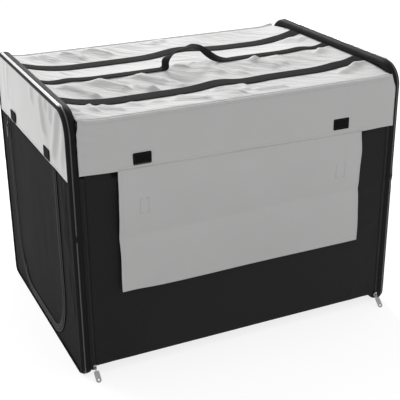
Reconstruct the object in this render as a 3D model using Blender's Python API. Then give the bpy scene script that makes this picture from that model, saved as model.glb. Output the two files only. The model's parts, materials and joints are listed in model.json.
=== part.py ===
"""A folding pet travel crate: two tube hoops on folding legs, held apart by rails, inside a cloth cover.

Metres, +Z up. X runs along the crate from the door end (-X) to the closed end (+X), the window looks
towards -Y, and the origin lies on the floor below the middle. The crate stands erect.
"""

import math

import bmesh
import bpy
from mathutils import Vector

# Outside sizes
LENGTH = 0.700
DEPTH = 0.500
HEIGHT = 0.540
GAP = 0.0003  # between two pieces that touch

# Tube frame
TUBE_R = 0.0065
TUBE_WALL = 0.001
TUBE_SIDES = 12
HOOP_BEND = 0.040  # centre line radius of a hoop's corners
BEND_STEPS = 6
RAIL_INSET = 0.0305  # centre of a rail below the crate's top, or above the floor
RAIL_PLAY = 0.00015  # round a rail where it passes through a hoop's sleeve
LEG_HINGE = 0.064  # leg hinge above the floor, and below the crate's top

# Leg hinges and knuckles
PIN_R = 0.0015
PIN_PLAY = 0.0003
PIN_HALF = 0.0061  # half of a hoop's hinge pin, flush in the tube
PIN_HEAD_R = 0.0026
PIN_HEAD = 0.0008
TONGUE = 0.004
CHEEK = 0.002
LUG_R = 0.0032
EYE_R = 0.0056
HINGE_REACH = 0.0105  # from a leg hinge to the end of the leg's tube
KNUCKLE_REACH = 0.014  # from the knuckle to the end of each tube
PLATE_ROOT = 0.006  # how far a hinge plate runs into its tube
SLOT_DEPTH = 0.0065  # slot in a hoop's end, below the hinge

# Cloth layers
CLOTH = 0.0012
END_CLOTH = 0.0015
END_TRIM = 0.001  # what the edge seam of an end stands proud
FRONT_PROUD = 0.001  # what flap and tabs stand proud of a long wall
BAND_HEIGHT = 0.105  # pale band on the long walls, below the roof seam
END_BAND_HEIGHT = 0.135  # pale band on the ends, below the hoop's top
END_INSET = 0.0027  # edge of an end sheet inside the hoop's outside

# Window in the front wall, and its flap
WINDOW_MARGIN = 0.0275  # what the flap reaches past the window at each side
WINDOW_DROP = 0.0245  # window's upper edge below the band
WINDOW_TALL = 0.193
WINDOW_CORNER = 0.020
MESH_CLOTH = 0.0008
FLAP_INSET = 0.0875  # flap's side edge inside the crate's end
FLAP_DROP = 0.2405
FLAP_CLOTH = 0.001
FLAP_AXIS = 0.0006  # flap's hinge line in front of the flap's outer face

# Door in the left end
DOOR_FRONT = 0.1005  # door's front edge behind the crate's front
DOOR_REAR = 0.0735  # door's rear edge before the crate's back
DOOR_LOW = 0.026
DOOR_BEND_Y = 0.085
DOOR_BEND_Z = 0.120
DOOR_STEPS = 8
DOOR_ZIP = 0.007

# Hook and loop tabs
TAB_WIDE = 0.036
TAB_TALL = 0.023
TAB_THICK = 0.0015
TAB_RISE = 0.011  # tab's lower edge above the band's
FRONT_TAB_INSET = 0.0505  # tab's middle inside the flap's side edge
DOOR_TAB_INSET = 0.0415  # tab's middle inside the door's side edge

# Zips along the hoops, sliders and pulls
ZIP_WIDE = 0.0058
SLIDER_HALF = 0.0031
SLIDER_TALL = 0.011
SLIDER_DEEP = 0.0035
EAR = 0.001
EAR_OUT = 0.003
BAR_R = 0.0006
BAR_OUT = 0.0018
BAR_DROP = 0.002
PULL_LONG = 0.028
PULL_HALF = 0.0055
PULL_THICK = 0.0012
PULL_NECK = 0.0045
PULL_HOLE = 0.38  # radius of the hole as a share of the pull's half width
PULL_EYE_R = 0.0015
SLIM_PULL_HALF = 0.0032  # the door's pull, no wider than its zip
LOW_REST = 0.0198  # bars of closed sliders above the floor, so that their pulls lie on it
OPEN_REST = 0.100  # bar of the rear left slider, which isn't run quite down
ZIP_TAIL = 0.008  # end of a zip below the wall's lower edge
DOOR_SLIDER_DROP = 0.016  # door slider below the door's hinge line

# Roof and its webbing
ROOF_HOOP_DROP = 0.0138  # top of the roof cloth below a hoop's top, where they meet
ROOF_SAG = 0.009
ROOF_CLOTH = 0.0012
RAIL_FALL = 0.085  # width of the slope from a rail to the sagging middle
HOOP_FALL = 0.120  # width of the slope from a hoop to the sagging middle
STRAP_INSET = 0.120  # middle of a wide strap inside the crate's front or back
STRAP_WIDE = 0.038
STRAP_THICK = 0.0015
HANDLE_WIDE = 0.025
HANDLE_HALF = 0.066
HANDLE_RISE = 0.050
HANDLE_STEPS = 16

# Floor
BOARD = 0.004
BOARD_PLAY = 0.005

# Places that follow
X_PANEL_OUT = LENGTH / 2 - END_TRIM
X_PANEL = X_PANEL_OUT - END_CLOTH
KNUCKLE_OUT = TUBE_R + GAP
X_TUBE = X_PANEL - GAP - KNUCKLE_OUT - LUG_R
SLEEVE_R = TUBE_R + GAP + CLOTH
Y_WALL_OUT = DEPTH / 2 - FRONT_PROUD
Y_WALL = Y_WALL_OUT - CLOTH
Y_TUBE = Y_WALL - GAP - SLEEVE_R
Z_LOW = SLEEVE_R
X_SLEEVE_IN = X_TUBE - SLEEVE_R
X_ZIP = X_SLEEVE_IN - GAP - ZIP_WIDE / 2
X_WALL = X_SLEEVE_IN - ZIP_WIDE - 2 * GAP
Y_RAIL = Y_TUBE - HOOP_BEND + math.sqrt(HOOP_BEND**2 - (Z_LOW + HOOP_BEND - RAIL_INSET) ** 2)
FLOOR_TOP = RAIL_INSET - TUBE_R - GAP
FLOOR_LOW = FLOOR_TOP - CLOTH
ROOF_EDGE_Z = HEIGHT - RAIL_INSET + TUBE_R + GAP + ROOF_CLOTH
ROOF_HOOP_Z = HEIGHT - ROOF_HOOP_DROP
BAND_LOW = ROOF_EDGE_Z - BAND_HEIGHT
FLAP_HALF = LENGTH / 2 - FLAP_INSET
WINDOW_HALF = FLAP_HALF - WINDOW_MARGIN
FRONT_TAB_X = FLAP_HALF - FRONT_TAB_INSET
WINDOW_HIGH = BAND_LOW - WINDOW_DROP
WINDOW_LOW = WINDOW_HIGH - WINDOW_TALL
END_SEAM = HEIGHT - END_BAND_HEIGHT
DOOR_MID = (DOOR_FRONT - DOOR_REAR) / 2
DOOR_HALF = (DEPTH - DOOR_FRONT - DOOR_REAR) / 2
DOOR_TAB_Y = DOOR_HALF - DOOR_TAB_INSET
STRAP_Y = DEPTH / 2 - STRAP_INSET
LOW_SWING = math.acos((LOW_REST - GAP - PULL_THICK / 2) / PULL_LONG)
KNUCKLE_Z = HEIGHT / 2
LEG = KNUCKLE_Z - LEG_HINGE
HOOP_END = LEG_HINGE + EYE_R + GAP
FLAP_TOP = BAND_LOW - 2 * GAP
DOOR_TOP = END_SEAM - 4 * GAP
SLOT = TONGUE + 2 * GAP


def clear_scene():
    for thing in list(bpy.data.objects):
        bpy.data.objects.remove(thing, do_unlink=True)


def finish(name, colour, roughness, metallic=0.0):
    """A plain Principled material."""
    material = bpy.data.materials.new(name)
    material.use_nodes = True
    shader = material.node_tree.nodes["Principled BSDF"]
    shader.inputs["Base Color"].default_value = (*colour, 1)
    shader.inputs["Roughness"].default_value = roughness
    shader.inputs["Metallic"].default_value = metallic
    return material


def loft(rings, cyclic=False):
    """A closed skin through rings of points, capped at both ends or joined end to start."""
    skin = bmesh.new()
    loops = [[skin.verts.new(point) for point in ring] for ring in rings]
    pairs = list(zip(loops, loops[1:]))
    if cyclic:
        pairs.append((loops[-1], loops[0]))
    for a, b in pairs:
        for i in range(len(a)):
            j = (i + 1) % len(a)
            skin.faces.new((a[i], a[j], b[j], b[i]))
    if not cyclic:
        skin.faces.new(loops[0])
        skin.faces.new(loops[-1])
    bmesh.ops.recalc_face_normals(skin, faces=skin.faces)
    return skin


def prism(points, axis, low, high):
    """An outline in the plane across an axis, extruded along that axis from low to high."""
    place = {
        "X": lambda p, level: (level, p[0], p[1]),
        "Y": lambda p, level: (p[0], level, p[1]),
        "Z": lambda p, level: (p[0], p[1], level),
    }[axis]
    return loft([[place(p, level) for p in points] for level in (low, high)])


def circle(centre, radius, count):
    turn = 2 * math.pi / count
    return [
        (centre[0] + radius * math.cos((i + 0.5) * turn), centre[1] + radius * math.sin((i + 0.5) * turn))
        for i in range(count)
    ]


def hull(points):
    """The convex outline round a set of points, counter-clockwise."""
    points = sorted(set(points))

    def half(run):
        out = []
        for p in run:
            while len(out) > 1 and (
                (out[-1][0] - out[-2][0]) * (p[1] - out[-2][1])
                - (out[-1][1] - out[-2][1]) * (p[0] - out[-2][0])
            ) <= 1e-12:
                out.pop()
            out.append(p)
        return out[:-1]

    return half(points) + half(points[::-1])


def box_outline(a0, a1, b0, b1):
    return [(a0, b0), (a1, b0), (a1, b1), (a0, b1)]


def rounded_outline(a0, a1, b0, b1, radius, steps=3):
    """A rectangle with round corners, counter-clockwise."""
    out = []
    for k, (a, b) in enumerate(((a1, b1), (a0, b1), (a0, b0), (a1, b0))):
        mid = (a - math.copysign(radius, a - (a0 + a1) / 2), b - math.copysign(radius, b - (b0 + b1) / 2))
        for i in range(steps + 1):
            turn = math.pi / 2 * (k + i / steps)
            out.append((mid[0] + radius * math.cos(turn), mid[1] + radius * math.sin(turn)))
    return out


def piece(name, skin, material, origin=(0, 0, 0), carrier=None, turn=0.0, swing=0.0, smooth=False):
    """An object from a skin in world places, with its origin where it is asked for.

    It can be swung outwards about its own X axis and then turned about Z.
    """
    if isinstance(skin, bmesh.types.BMesh):
        bmesh.ops.translate(skin, vec=-Vector(origin), verts=skin.verts)
        mesh = bpy.data.meshes.new(name)
        skin.to_mesh(mesh)
        skin.free()
    else:
        mesh = skin
    thing = bpy.data.objects.new(name, mesh)
    bpy.context.scene.collection.objects.link(thing)
    thing.rotation_euler = (-swing, 0, turn)
    thing.location = Vector(origin)
    if carrier:
        thing.parent = carrier
        thing.location -= carrier.location
    if material and not mesh.materials:
        mesh.materials.append(material)
    if smooth:
        mesh.shade_smooth()
        mesh.set_sharp_from_angle(angle=math.radians(40))
    return thing


def pivot(name, place):
    """An empty on a joint's axis, for the pieces that turn about it."""
    empty = bpy.data.objects.new(name, None)
    empty.empty_display_size = 0.02
    empty.location = place
    bpy.context.scene.collection.objects.link(empty)
    return empty


def combine(operation, first, others):
    """One mesh from a skin and others joined to it or cut from it, one after another."""
    thing = piece("combined", first, None)
    helpers = [piece("helper", skin, None) for skin in others]
    for helper in helpers:
        step = thing.modifiers.new("Boolean", "BOOLEAN")
        step.operation = operation
        step.solver = "EXACT"
        step.object = helper
    graph = bpy.context.evaluated_depsgraph_get()
    mesh = bpy.data.meshes.new_from_object(thing.evaluated_get(graph))
    for used in (thing, *helpers):
        bpy.data.objects.remove(used, do_unlink=True)
    skin = bmesh.new()
    skin.from_mesh(mesh)
    bpy.data.meshes.remove(mesh)
    return skin


def cylinder(axis, centre, radius, low, high, sides=TUBE_SIDES):
    """A round bar along an axis, with the centre given across it."""
    return prism(circle(centre, radius, sides), axis, low, high)


def bore_tube(rings_out, rings_in):
    """A tube open at both ends, from its outer rings and its inner rings."""
    return loft([*rings_out, *reversed(rings_in)], cyclic=True)


def straight_tube(axis, centre, low, high):
    """A straight tube along an axis, open at both ends."""
    place = {"X": lambda p, t: (t, p[0], p[1]), "Z": lambda p, t: (p[0], p[1], t)}[axis]
    walls = [
        [[place(p, t) for p in circle(centre, radius, TUBE_SIDES)] for t in (low, high)]
        for radius in (TUBE_R, TUBE_R - TUBE_WALL)
    ]
    return bore_tube(*walls)


# The hoops' path: up one leg end, round two corners, and up the other


def hoop_path(end):
    """Points and outward normals, as (y, z), of the lower hoop from one upturned end to the other."""
    mid_y, mid_z = Y_TUBE - HOOP_BEND, Z_LOW + HOOP_BEND
    path = [((-Y_TUBE, end), (-1.0, 0.0))]
    for side in (-1, 1):
        for i in range(BEND_STEPS + 1):
            share = i / BEND_STEPS if side < 0 else 1 - i / BEND_STEPS
            turn = math.pi / 2 * share
            normal = (side * math.cos(turn), -math.sin(turn))
            path.append(((side * mid_y + HOOP_BEND * normal[0], mid_z + HOOP_BEND * normal[1]), normal))
    path.append(((Y_TUBE, end), (1.0, 0.0)))
    return path


def along_hoop(profile, path, x_side, top):
    """Rings of a profile, given as (outward, outboard), along a hoop's path at one end of the crate."""
    rings = []
    for (y, z), (ny, nz) in path:
        ring = []
        for outward, outboard in profile:
            height = z + nz * outward
            ring.append((x_side * (X_TUBE + outboard), y + ny * outward, HEIGHT - height if top else height))
        rings.append(ring)
    return rings


def hoop_skin(x_side, top):
    """A bent tube whose two ends are slotted for the legs' eyes, each with its hinge pin."""
    path = hoop_path(HOOP_END)
    walls = [
        along_hoop(circle((0, 0), radius, TUBE_SIDES), path, x_side, top)
        for radius in (TUBE_R, TUBE_R - TUBE_WALL)
    ]
    reach = LEG_HINGE - SLOT_DEPTH, HOOP_END + TUBE_R
    hinge = HEIGHT - LEG_HINGE if top else LEG_HINGE
    low, high = sorted(HEIGHT - z if top else z for z in reach)
    x = x_side * X_TUBE
    slot = box_outline(x - 2 * TUBE_R, x + 2 * TUBE_R, low, high)
    slots = [prism(slot, "Y", y - SLOT / 2, y + SLOT / 2) for y in (-Y_TUBE, Y_TUBE)]
    pin = [(PIN_R, -PIN_HALF), (PIN_R, PIN_HALF)]
    pins = [pin_skin(x, y, hinge, pin) for y in (-Y_TUBE, Y_TUBE)]
    return combine("UNION", combine("DIFFERENCE", bore_tube(*walls), slots), pins)


def rail_skin(y_side, top):
    """A straight rail whose ends are hollowed to sit on the bends of both hoops."""
    z = HEIGHT - RAIL_INSET if top else RAIL_INSET
    rail = straight_tube("X", (y_side * Y_RAIL, z), -X_TUBE, X_TUBE)
    path = hoop_path(HOOP_END)
    seat = circle((0, 0), TUBE_R + GAP, TUBE_SIDES * 2)
    cuts = [loft(along_hoop(seat, path, x_side, top)) for x_side in (-1, 1)]
    return combine("DIFFERENCE", rail, cuts)


# A leg is drawn for the left end, with its hinge on the frame at the origin and its knuckle's pin
# outboard of the tube, so that the tubes fold side by side. The right end's legs are turned half round.


def plate(profile, low, high):
    return prism(hull(profile), "Y", low, high)


def leg_eye(reach):
    """Outline of the flat eye at a leg's hinge on the frame."""
    half = TUBE_R - TUBE_WALL / 2
    root = reach + PLATE_ROOT
    return circle((0, 0), EYE_R, 16) + [(-half, root), (half, root), (-half, reach), (half, reach)]


def lower_leg_skin():
    """Tube with a flat eye below, and above it the knuckle's two cheeks and their rivet."""
    half = TUBE_R - TUBE_WALL / 2
    end = LEG - KNUCKLE_REACH
    fork = circle((-KNUCKLE_OUT, LEG), LUG_R, 16) + box_outline(-half, half, end - PLATE_ROOT, end + GAP)
    tube = straight_tube("Z", (0, 0), HINGE_REACH, end)
    plates = [plate(leg_eye(HINGE_REACH), -TONGUE / 2, TONGUE / 2)]
    for side in (-1, 1):
        near, far = sorted((side * SLOT / 2, side * (SLOT / 2 + CHEEK)))
        plates.append(plate(fork, near, far))
    shank = SLOT / 2 + CHEEK
    head = [(PIN_HEAD_R, shank + PIN_HEAD), (PIN_HEAD_R, shank - GAP), (PIN_R, shank - GAP)]
    rivet = pin_skin(-KNUCKLE_OUT, 0, LEG, [(radius, -reach) for radius, reach in head] + head[::-1])
    hole = cylinder("Y", (0, 0), PIN_R + PIN_PLAY, -TUBE_R * 2, TUBE_R * 2)
    leg = combine("DIFFERENCE", combine("UNION", tube, plates), [hole])
    return combine("UNION", leg, [rivet])


def upper_leg_skin():
    """Tube with a knuckle tongue below, whose heel stops on the lower leg's tube, and an eye above."""
    half = TUBE_R - TUBE_WALL / 2
    start = KNUCKLE_REACH - LEG
    heel = [(half / 2, -LEG - KNUCKLE_REACH + GAP), (half, -LEG - KNUCKLE_REACH + GAP)]
    tongue = circle((-KNUCKLE_OUT, -LEG), LUG_R, 16) + heel
    tongue += box_outline(-half, half, start - GAP, start + PLATE_ROOT)
    eye = [(x, -z) for x, z in leg_eye(HINGE_REACH)]
    tube = straight_tube("Z", (0, 0), start, -HINGE_REACH)
    plates = [plate(outline, -TONGUE / 2, TONGUE / 2) for outline in (tongue, eye)]
    holes = [
        cylinder("Y", place, PIN_R + PIN_PLAY, -TUBE_R * 2, TUBE_R * 2)
        for place in ((0, 0), (-KNUCKLE_OUT, -LEG))
    ]
    return combine("DIFFERENCE", combine("UNION", tube, plates), holes)


def pin_skin(x, y, z, profile):
    """A round pin along Y, turned from a profile of (radius, reach)."""
    return loft([[(a, y + reach, b) for a, b in circle((x, z), radius, TUBE_SIDES)] for radius, reach in profile])


def frame(steel, carriers):
    """Hoops, rails and the folding legs between them."""
    sides = {"left": -1, "right": 1}
    for side, x_side in sides.items():
        piece(f"base_hoop_{side}", hoop_skin(x_side, False), steel, smooth=True)
        piece(f"top_hoop_{side}", hoop_skin(x_side, True), steel, carrier=carriers["top"], smooth=True)
    for name, y_side in (("front", -1), ("rear", 1)):
        piece(f"base_rail_{name}", rail_skin(y_side, False), steel, smooth=True)
        piece(f"top_rail_{name}", rail_skin(y_side, True), steel, carrier=carriers["top"], smooth=True)
    meshes = {}
    for kind, skin in (("lower", lower_leg_skin()), ("upper", upper_leg_skin())):
        meshes[kind] = bpy.data.meshes.new(f"{kind}_leg")
        skin.to_mesh(meshes[kind])
        skin.free()
    for side, x_side in sides.items():
        for name, y_side in (("front", -1), ("rear", 1)):
            for kind, height in (("lower", LEG_HINGE), ("upper", HEIGHT - LEG_HINGE)):
                piece(
                    f"{side}_{name}_{kind}_leg",
                    meshes[kind],
                    steel,
                    origin=(x_side * X_TUBE, y_side * Y_TUBE, height),
                    carrier=carriers[f"{side}_{kind}"],
                    turn=0.0 if x_side < 0 else math.pi,
                    smooth=True,
                )


# Cloth on the hoops


def sleeve_profile():
    """A channel round the tube, as (outward, outboard), open towards the end of the crate."""
    inside = TUBE_R + GAP
    lip = X_PANEL - GAP - X_TUBE
    round_off = 0.0025
    outer = [
        (SLEEVE_R, lip),
        (SLEEVE_R, round_off - SLEEVE_R),
        (SLEEVE_R - round_off, -SLEEVE_R),
        (round_off - SLEEVE_R, -SLEEVE_R),
        (-SLEEVE_R, round_off - SLEEVE_R),
        (-SLEEVE_R, TUBE_R),
    ]
    inner = [
        (-inside, TUBE_R),
        (-inside, round_off - SLEEVE_R),
        (round_off - SLEEVE_R, -inside),
        (SLEEVE_R - round_off, -inside),
        (inside, round_off - SLEEVE_R),
        (inside, lip),
    ]
    return outer + inner


def hoop_sleeve_skin(x_side, top):
    """A hoop's sleeve, with a round hole for each rail."""
    end = LEG_HINGE - SLOT_DEPTH - 2 * GAP
    z = HEIGHT - RAIL_INSET if top else RAIL_INSET
    reach = sorted((x_side * X_TUBE, x_side * X_TUBE / 2))
    holes = [cylinder("X", (y * Y_RAIL, z), TUBE_R + RAIL_PLAY, *reach) for y in (-1, 1)]
    return combine("DIFFERENCE", loft(along_hoop(sleeve_profile(), hoop_path(end), x_side, top)), holes)


def sleeves(black, carriers):
    """Cloth sleeves: one round each hoop, and one round each folding leg."""
    end = LEG_HINGE - SLOT_DEPTH - 2 * GAP
    for side, x_side in (("left", -1), ("right", 1)):
        for part, top in (("base", False), ("top", True)):
            skin = hoop_sleeve_skin(x_side, top)
            piece(f"{side}_{part}_sleeve", skin, black, carrier=carriers["top"] if top else None)
        for name, y_side in (("front", -1), ("rear", 1)):
            rings = [
                [(x_side * (X_TUBE + b), y_side * (Y_TUBE + a), z) for a, b in sleeve_profile()]
                for z in (end + GAP, HEIGHT - end - GAP)
            ]
            piece(f"{side}_{name}_leg_sleeve", loft(rings), black)


# Walls, ends and floor


def long_walls(black, pale, net):
    """Front and rear walls with the pale band above, and the net that fills the front window."""
    for name, y_side in (("front", -1), ("rear", 1)):
        near, far = sorted((y_side * Y_WALL, y_side * Y_WALL_OUT))
        wall = prism(box_outline(-X_WALL, X_WALL, FLOOR_LOW, BAND_LOW - GAP), "Y", near, far)
        band = prism(box_outline(-X_WALL, X_WALL, BAND_LOW, ROOF_EDGE_Z), "Y", near, far)
        if name == "front":
            window = rounded_outline(-WINDOW_HALF, WINDOW_HALF, WINDOW_LOW, WINDOW_HIGH, WINDOW_CORNER)
            wall = combine("DIFFERENCE", wall, [prism(window, "Y", -DEPTH, -DEPTH / 4)])
        piece(f"{name}_wall", wall, black)
        piece(f"{name}_band", band, pale)
    pane = rounded_outline(
        GAP - WINDOW_HALF, WINDOW_HALF - GAP, WINDOW_LOW + GAP, WINDOW_HIGH - GAP, WINDOW_CORNER - GAP
    )
    piece("window_net", prism(pane, "Y", -Y_WALL - MESH_CLOTH, -Y_WALL), net)


def end_outline(low=None, high=None):
    """Outline (y, z) of an end sheet inside the hoop, cut level at low or at high."""
    half, foot, head = DEPTH / 2 - FRONT_PROUD - CLOTH - GAP - END_INSET, END_INSET, HEIGHT - END_INSET
    radius = HOOP_BEND + SLEEVE_R - END_INSET
    points = rounded_outline(-half, half, foot, head, radius, BEND_STEPS)
    count = BEND_STEPS + 1
    if low is not None:
        return [*points[: 2 * count], (-half, low), (half, low)]
    return [(half, high), (-half, high), *points[2 * count :]]


def door_outline(grow):
    """The U of the door (y, z), from its front top corner down and round to its rear top corner."""
    half, low = DOOR_HALF + grow, DOOR_LOW - grow
    bend_y, bend_z = DOOR_BEND_Y + grow, DOOR_BEND_Z + grow
    points = [(DOOR_MID - half, DOOR_TOP)]
    for side in (-1, 1):
        for i in range(DOOR_STEPS + 1):
            share = i / DOOR_STEPS if side < 0 else 1 - i / DOOR_STEPS
            turn = math.pi / 2 * share
            y = DOOR_MID + side * (half - bend_y * (1 - math.cos(turn)))
            points.append((y, low + bend_z * (1 - math.sin(turn))))
    points.append((DOOR_MID + half, DOOR_TOP))
    return points


def ends(black, pale, zip_finish):
    """End sheets with their pale bands, and the door's zip in the left one."""
    for name, x_side in (("left", -1), ("right", 1)):
        near, far = sorted((x_side * X_PANEL, x_side * X_PANEL_OUT))
        sheet = prism(end_outline(high=END_SEAM - GAP), "X", near, far)
        if name == "left":
            hole = door_outline(DOOR_ZIP + GAP)
            hole = [(hole[0][0], END_SEAM + CLOTH), *hole, (hole[-1][0], END_SEAM + CLOTH)]
            sheet = combine("DIFFERENCE", sheet, [prism(hole, "X", -LENGTH, -LENGTH / 4)])
        piece(f"{name}_end_panel", sheet, black)
        piece(f"{name}_end_band", prism(end_outline(low=END_SEAM), "X", near, far), pale)
    strip = door_outline(DOOR_ZIP) + door_outline(GAP)[::-1]
    piece("door_zip", prism(strip, "X", -X_PANEL_OUT, -X_PANEL), zip_finish)


def floor(black, board):
    """Cloth floor under the lower rails, and the stiff board that lies on them."""
    half = X_SLEEVE_IN - GAP
    sheet = prism(box_outline(-half, half, GAP - Y_WALL, Y_WALL - GAP), "Z", FLOOR_LOW, FLOOR_TOP)
    piece("floor_cloth", sheet, black)
    low = RAIL_INSET + TUBE_R + GAP
    reach_x, reach_y = half - GAP, Y_WALL - BOARD_PLAY
    outline = rounded_outline(-reach_x, reach_x, -reach_y, reach_y, 0.006)
    piece("floor_board", prism(outline, "Z", low, low + BOARD), board)


# Roof and webbing


def drape(share):
    """How far taut cloth has fallen, steep where it is held and level in the middle."""
    left = 1 - min(max(share, 0.0), 1.0)
    return 1 - left * left


def roof_height(x, y):
    """Top of the roof cloth: level on the rails, a little higher at the hoops, sagging between."""
    half_x, half_y = X_SLEEVE_IN - GAP, Y_RAIL - TUBE_R
    from_rail = drape((half_y - abs(y)) / RAIL_FALL)
    from_hoop = drape((half_x - abs(x)) / HOOP_FALL)
    at_hoop = ROOF_EDGE_Z + (ROOF_HOOP_Z - ROOF_EDGE_Z) * from_rail
    in_middle = ROOF_EDGE_Z - ROOF_SAG * from_rail
    return at_hoop + (in_middle - at_hoop) * from_hoop


def spread(half, fall, inner):
    """Stations from -half to half, closer together over the slopes at both ends."""
    slope = [half - fall * i / 5 for i in range(6)]
    middle = [-(half - fall) + 2 * (half - fall) * i / inner for i in range(1, inner)]
    return [-s for s in slope] + middle + slope[::-1]


def ribbon(path, y, width, thick):
    """Webbing along a path of (x, z) points, as wide as given across Y."""
    rings = []
    for i, (x, z) in enumerate(path):
        a, b = path[max(i - 1, 0)], path[min(i + 1, len(path) - 1)]
        run = math.hypot(b[0] - a[0], b[1] - a[1])
        up = (-(b[1] - a[1]) / run * thick, (b[0] - a[0]) / run * thick)
        rings.append(
            [
                (x, y - width / 2, z),
                (x, y + width / 2, z),
                (x + up[0], y + width / 2, z + up[1]),
                (x + up[0], y - width / 2, z + up[1]),
            ]
        )
    return loft(rings)


def roof(pale, webbing, carrier):
    """Roof cloth, two wide straps, and the narrow strap that rises into the carry handle."""
    half_x, half_y = X_SLEEVE_IN - GAP, Y_WALL - GAP
    stations = spread(half_x, HOOP_FALL, 4)
    across = [-half_y, *spread(Y_RAIL - TUBE_R, RAIL_FALL, 3), half_y]
    rings = []
    for x in stations:
        over = [(x, y, roof_height(x, y)) for y in across]
        rings.append(over + [(x, y, z - ROOF_CLOTH) for x, y, z in reversed(over)])
    piece("roof_cloth", loft(rings), pale, carrier=carrier, smooth=True)

    def lying(y, run, lift):
        return [(x, roof_height(x, y) + lift) for x in run]

    clear = GAP * 2
    for name, y in (("front", -STRAP_Y), ("rear", STRAP_Y)):
        skin = ribbon(lying(y, stations, clear), y, STRAP_WIDE, STRAP_THICK)
        piece(f"{name}_roof_strap", skin, webbing, carrier=carrier)
    base = roof_height(0, 0) + clear
    loop = []
    for i in range(HANDLE_STEPS + 1):
        turn = math.pi * i / HANDLE_STEPS
        loop.append((-HANDLE_HALF * math.cos(turn), base + HANDLE_RISE * math.sin(turn) ** 0.8))
    left = lying(0, [x for x in stations if x < -HANDLE_HALF * 1.2], clear)
    right = [(-x, z) for x, z in reversed(left)]
    skin = ribbon([*left, *loop, *right], 0, HANDLE_WIDE, STRAP_THICK)
    piece("carry_handle_strap", skin, webbing, carrier=carrier)


# Flaps, tabs and zips


def flaps(pale, black, carriers):
    """The window's cover and the door, each hung along its top edge."""
    out = Y_WALL_OUT + GAP
    cover = prism(
        rounded_outline(-FLAP_HALF, FLAP_HALF, FLAP_TOP - FLAP_DROP, FLAP_TOP, 0.004),
        "Y",
        -out - FLAP_CLOTH,
        -out,
    )
    piece("window_flap", cover, pale, origin=carriers["window_flap"].location, carrier=carriers["window_flap"])
    door = prism(door_outline(0), "X", -X_PANEL_OUT, -X_PANEL)
    piece("door_flap", door, black, origin=carriers["door_flap"].location, carrier=carriers["door_flap"])


def tab_mesh():
    """One tab, drawn facing -Y with its hinge line along X at its top and back."""
    outline = rounded_outline(-TAB_WIDE / 2, TAB_WIDE / 2, -TAB_TALL, 0, 0.0015, 2)
    mesh = bpy.data.meshes.new("tab")
    skin = prism(outline, "Y", -TAB_THICK, 0)
    skin.to_mesh(mesh)
    skin.free()
    return mesh


def tabs(fastener, carriers):
    """Four hook and loop tabs that hold the rolled-up flaps."""
    mesh = tab_mesh()
    for name in ("window_tab_left", "window_tab_right", "door_tab_front", "door_tab_rear"):
        carrier = carriers[name]
        turn = 0.0 if name.startswith("window") else -math.pi / 2
        piece(name, mesh, fastener, origin=carrier.location, carrier=carrier, turn=turn)


def slider_mesh():
    """A zip slider drawn facing -Y, with its cross bar along X at the origin."""
    back = BAR_OUT + SLIDER_DEEP
    low, high = BAR_DROP - SLIDER_TALL / 2, BAR_DROP + SLIDER_TALL / 2
    body = prism(rounded_outline(-SLIDER_HALF, SLIDER_HALF, low, high, 0.0012, 2), "Y", BAR_OUT, back)
    ears = []
    for side in (-1, 1):
        near, far = sorted((side * (EAR + GAP), side * (2 * EAR + GAP)))
        root = [(BAR_OUT + GAP, z) for z in (-EAR_OUT / 2, EAR_OUT / 2)]
        outline = hull([*circle((0, 0), EAR_OUT - BAR_OUT, 10), *root])
        ears.append(prism(outline, "X", near, far))
    bar = cylinder("X", (0, 0), BAR_R, -1.5 * EAR, 1.5 * EAR, 8)
    mesh = bpy.data.meshes.new("slider")
    skin = combine("UNION", body, [*ears, bar])
    skin.to_mesh(mesh)
    skin.free()
    return mesh


def pull_mesh(tag_half):
    """A zip pull that hangs from the slider's bar, with a round end and a round hole in it."""
    plate_top = -PULL_NECK
    half = PULL_THICK / 2
    eye = cylinder("X", (0, 0), PULL_EYE_R, -EAR, EAR, 12)
    neck = prism(box_outline(-half, half, plate_top - half, 0), "X", -EAR, EAR)
    end, corner = tag_half - PULL_LONG, tag_half / 2
    shoulders = [
        point
        for side in (-1, 1)
        for point in circle((side * (tag_half - corner), plate_top - corner), corner, 12)
    ]
    tag = hull([*circle((0, end), tag_half, 20), *shoulders])
    skin = combine("UNION", eye, [neck, prism(tag, "Y", -half, half)])
    holes = [
        cylinder("X", (0, 0), BAR_R + PIN_PLAY, -4 * EAR, 4 * EAR, 12),
        cylinder("Y", (0, end), tag_half * PULL_HOLE, -4 * half, 4 * half),
    ]
    skin = combine("DIFFERENCE", skin, holes)
    mesh = bpy.data.meshes.new("pull")
    skin.to_mesh(mesh)
    skin.free()
    return mesh


def zips(zip_finish, bright, carriers):
    """Zip strips along the hoops, and every slider with its pull."""
    for side, x_side in (("left", -1), ("right", 1)):
        x, half = x_side * X_ZIP, ZIP_WIDE / 2
        for name, y_side in (("front", -1), ("rear", 1)):
            outline = box_outline(x - half, x + half, FLOOR_LOW - ZIP_TAIL, ROOF_EDGE_Z)
            near, far = sorted((y_side * Y_WALL, y_side * Y_WALL_OUT))
            piece(f"{name}_{side}_zip", prism(outline, "Y", near, far), zip_finish)
    slider, wide_pull, slim_pull = slider_mesh(), pull_mesh(PULL_HALF), pull_mesh(SLIM_PULL_HALF)
    for name, turn in (
        ("front_left", 0.0),
        ("front_right", 0.0),
        ("rear_left", math.pi),
        ("rear_right", math.pi),
        ("door", -math.pi / 2),
    ):
        carrier = carriers[f"{name}_slider"]
        pull = slim_pull if name == "door" else wide_pull
        swing = 0.0 if name in ("rear_left", "door") else LOW_SWING
        for part, mesh, lean in (("slider", slider, 0.0), ("pull", pull, swing)):
            piece(
                f"{name}_{part}",
                mesh,
                bright,
                origin=carrier.location,
                carrier=carrier,
                turn=turn,
                swing=lean,
            )


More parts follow.
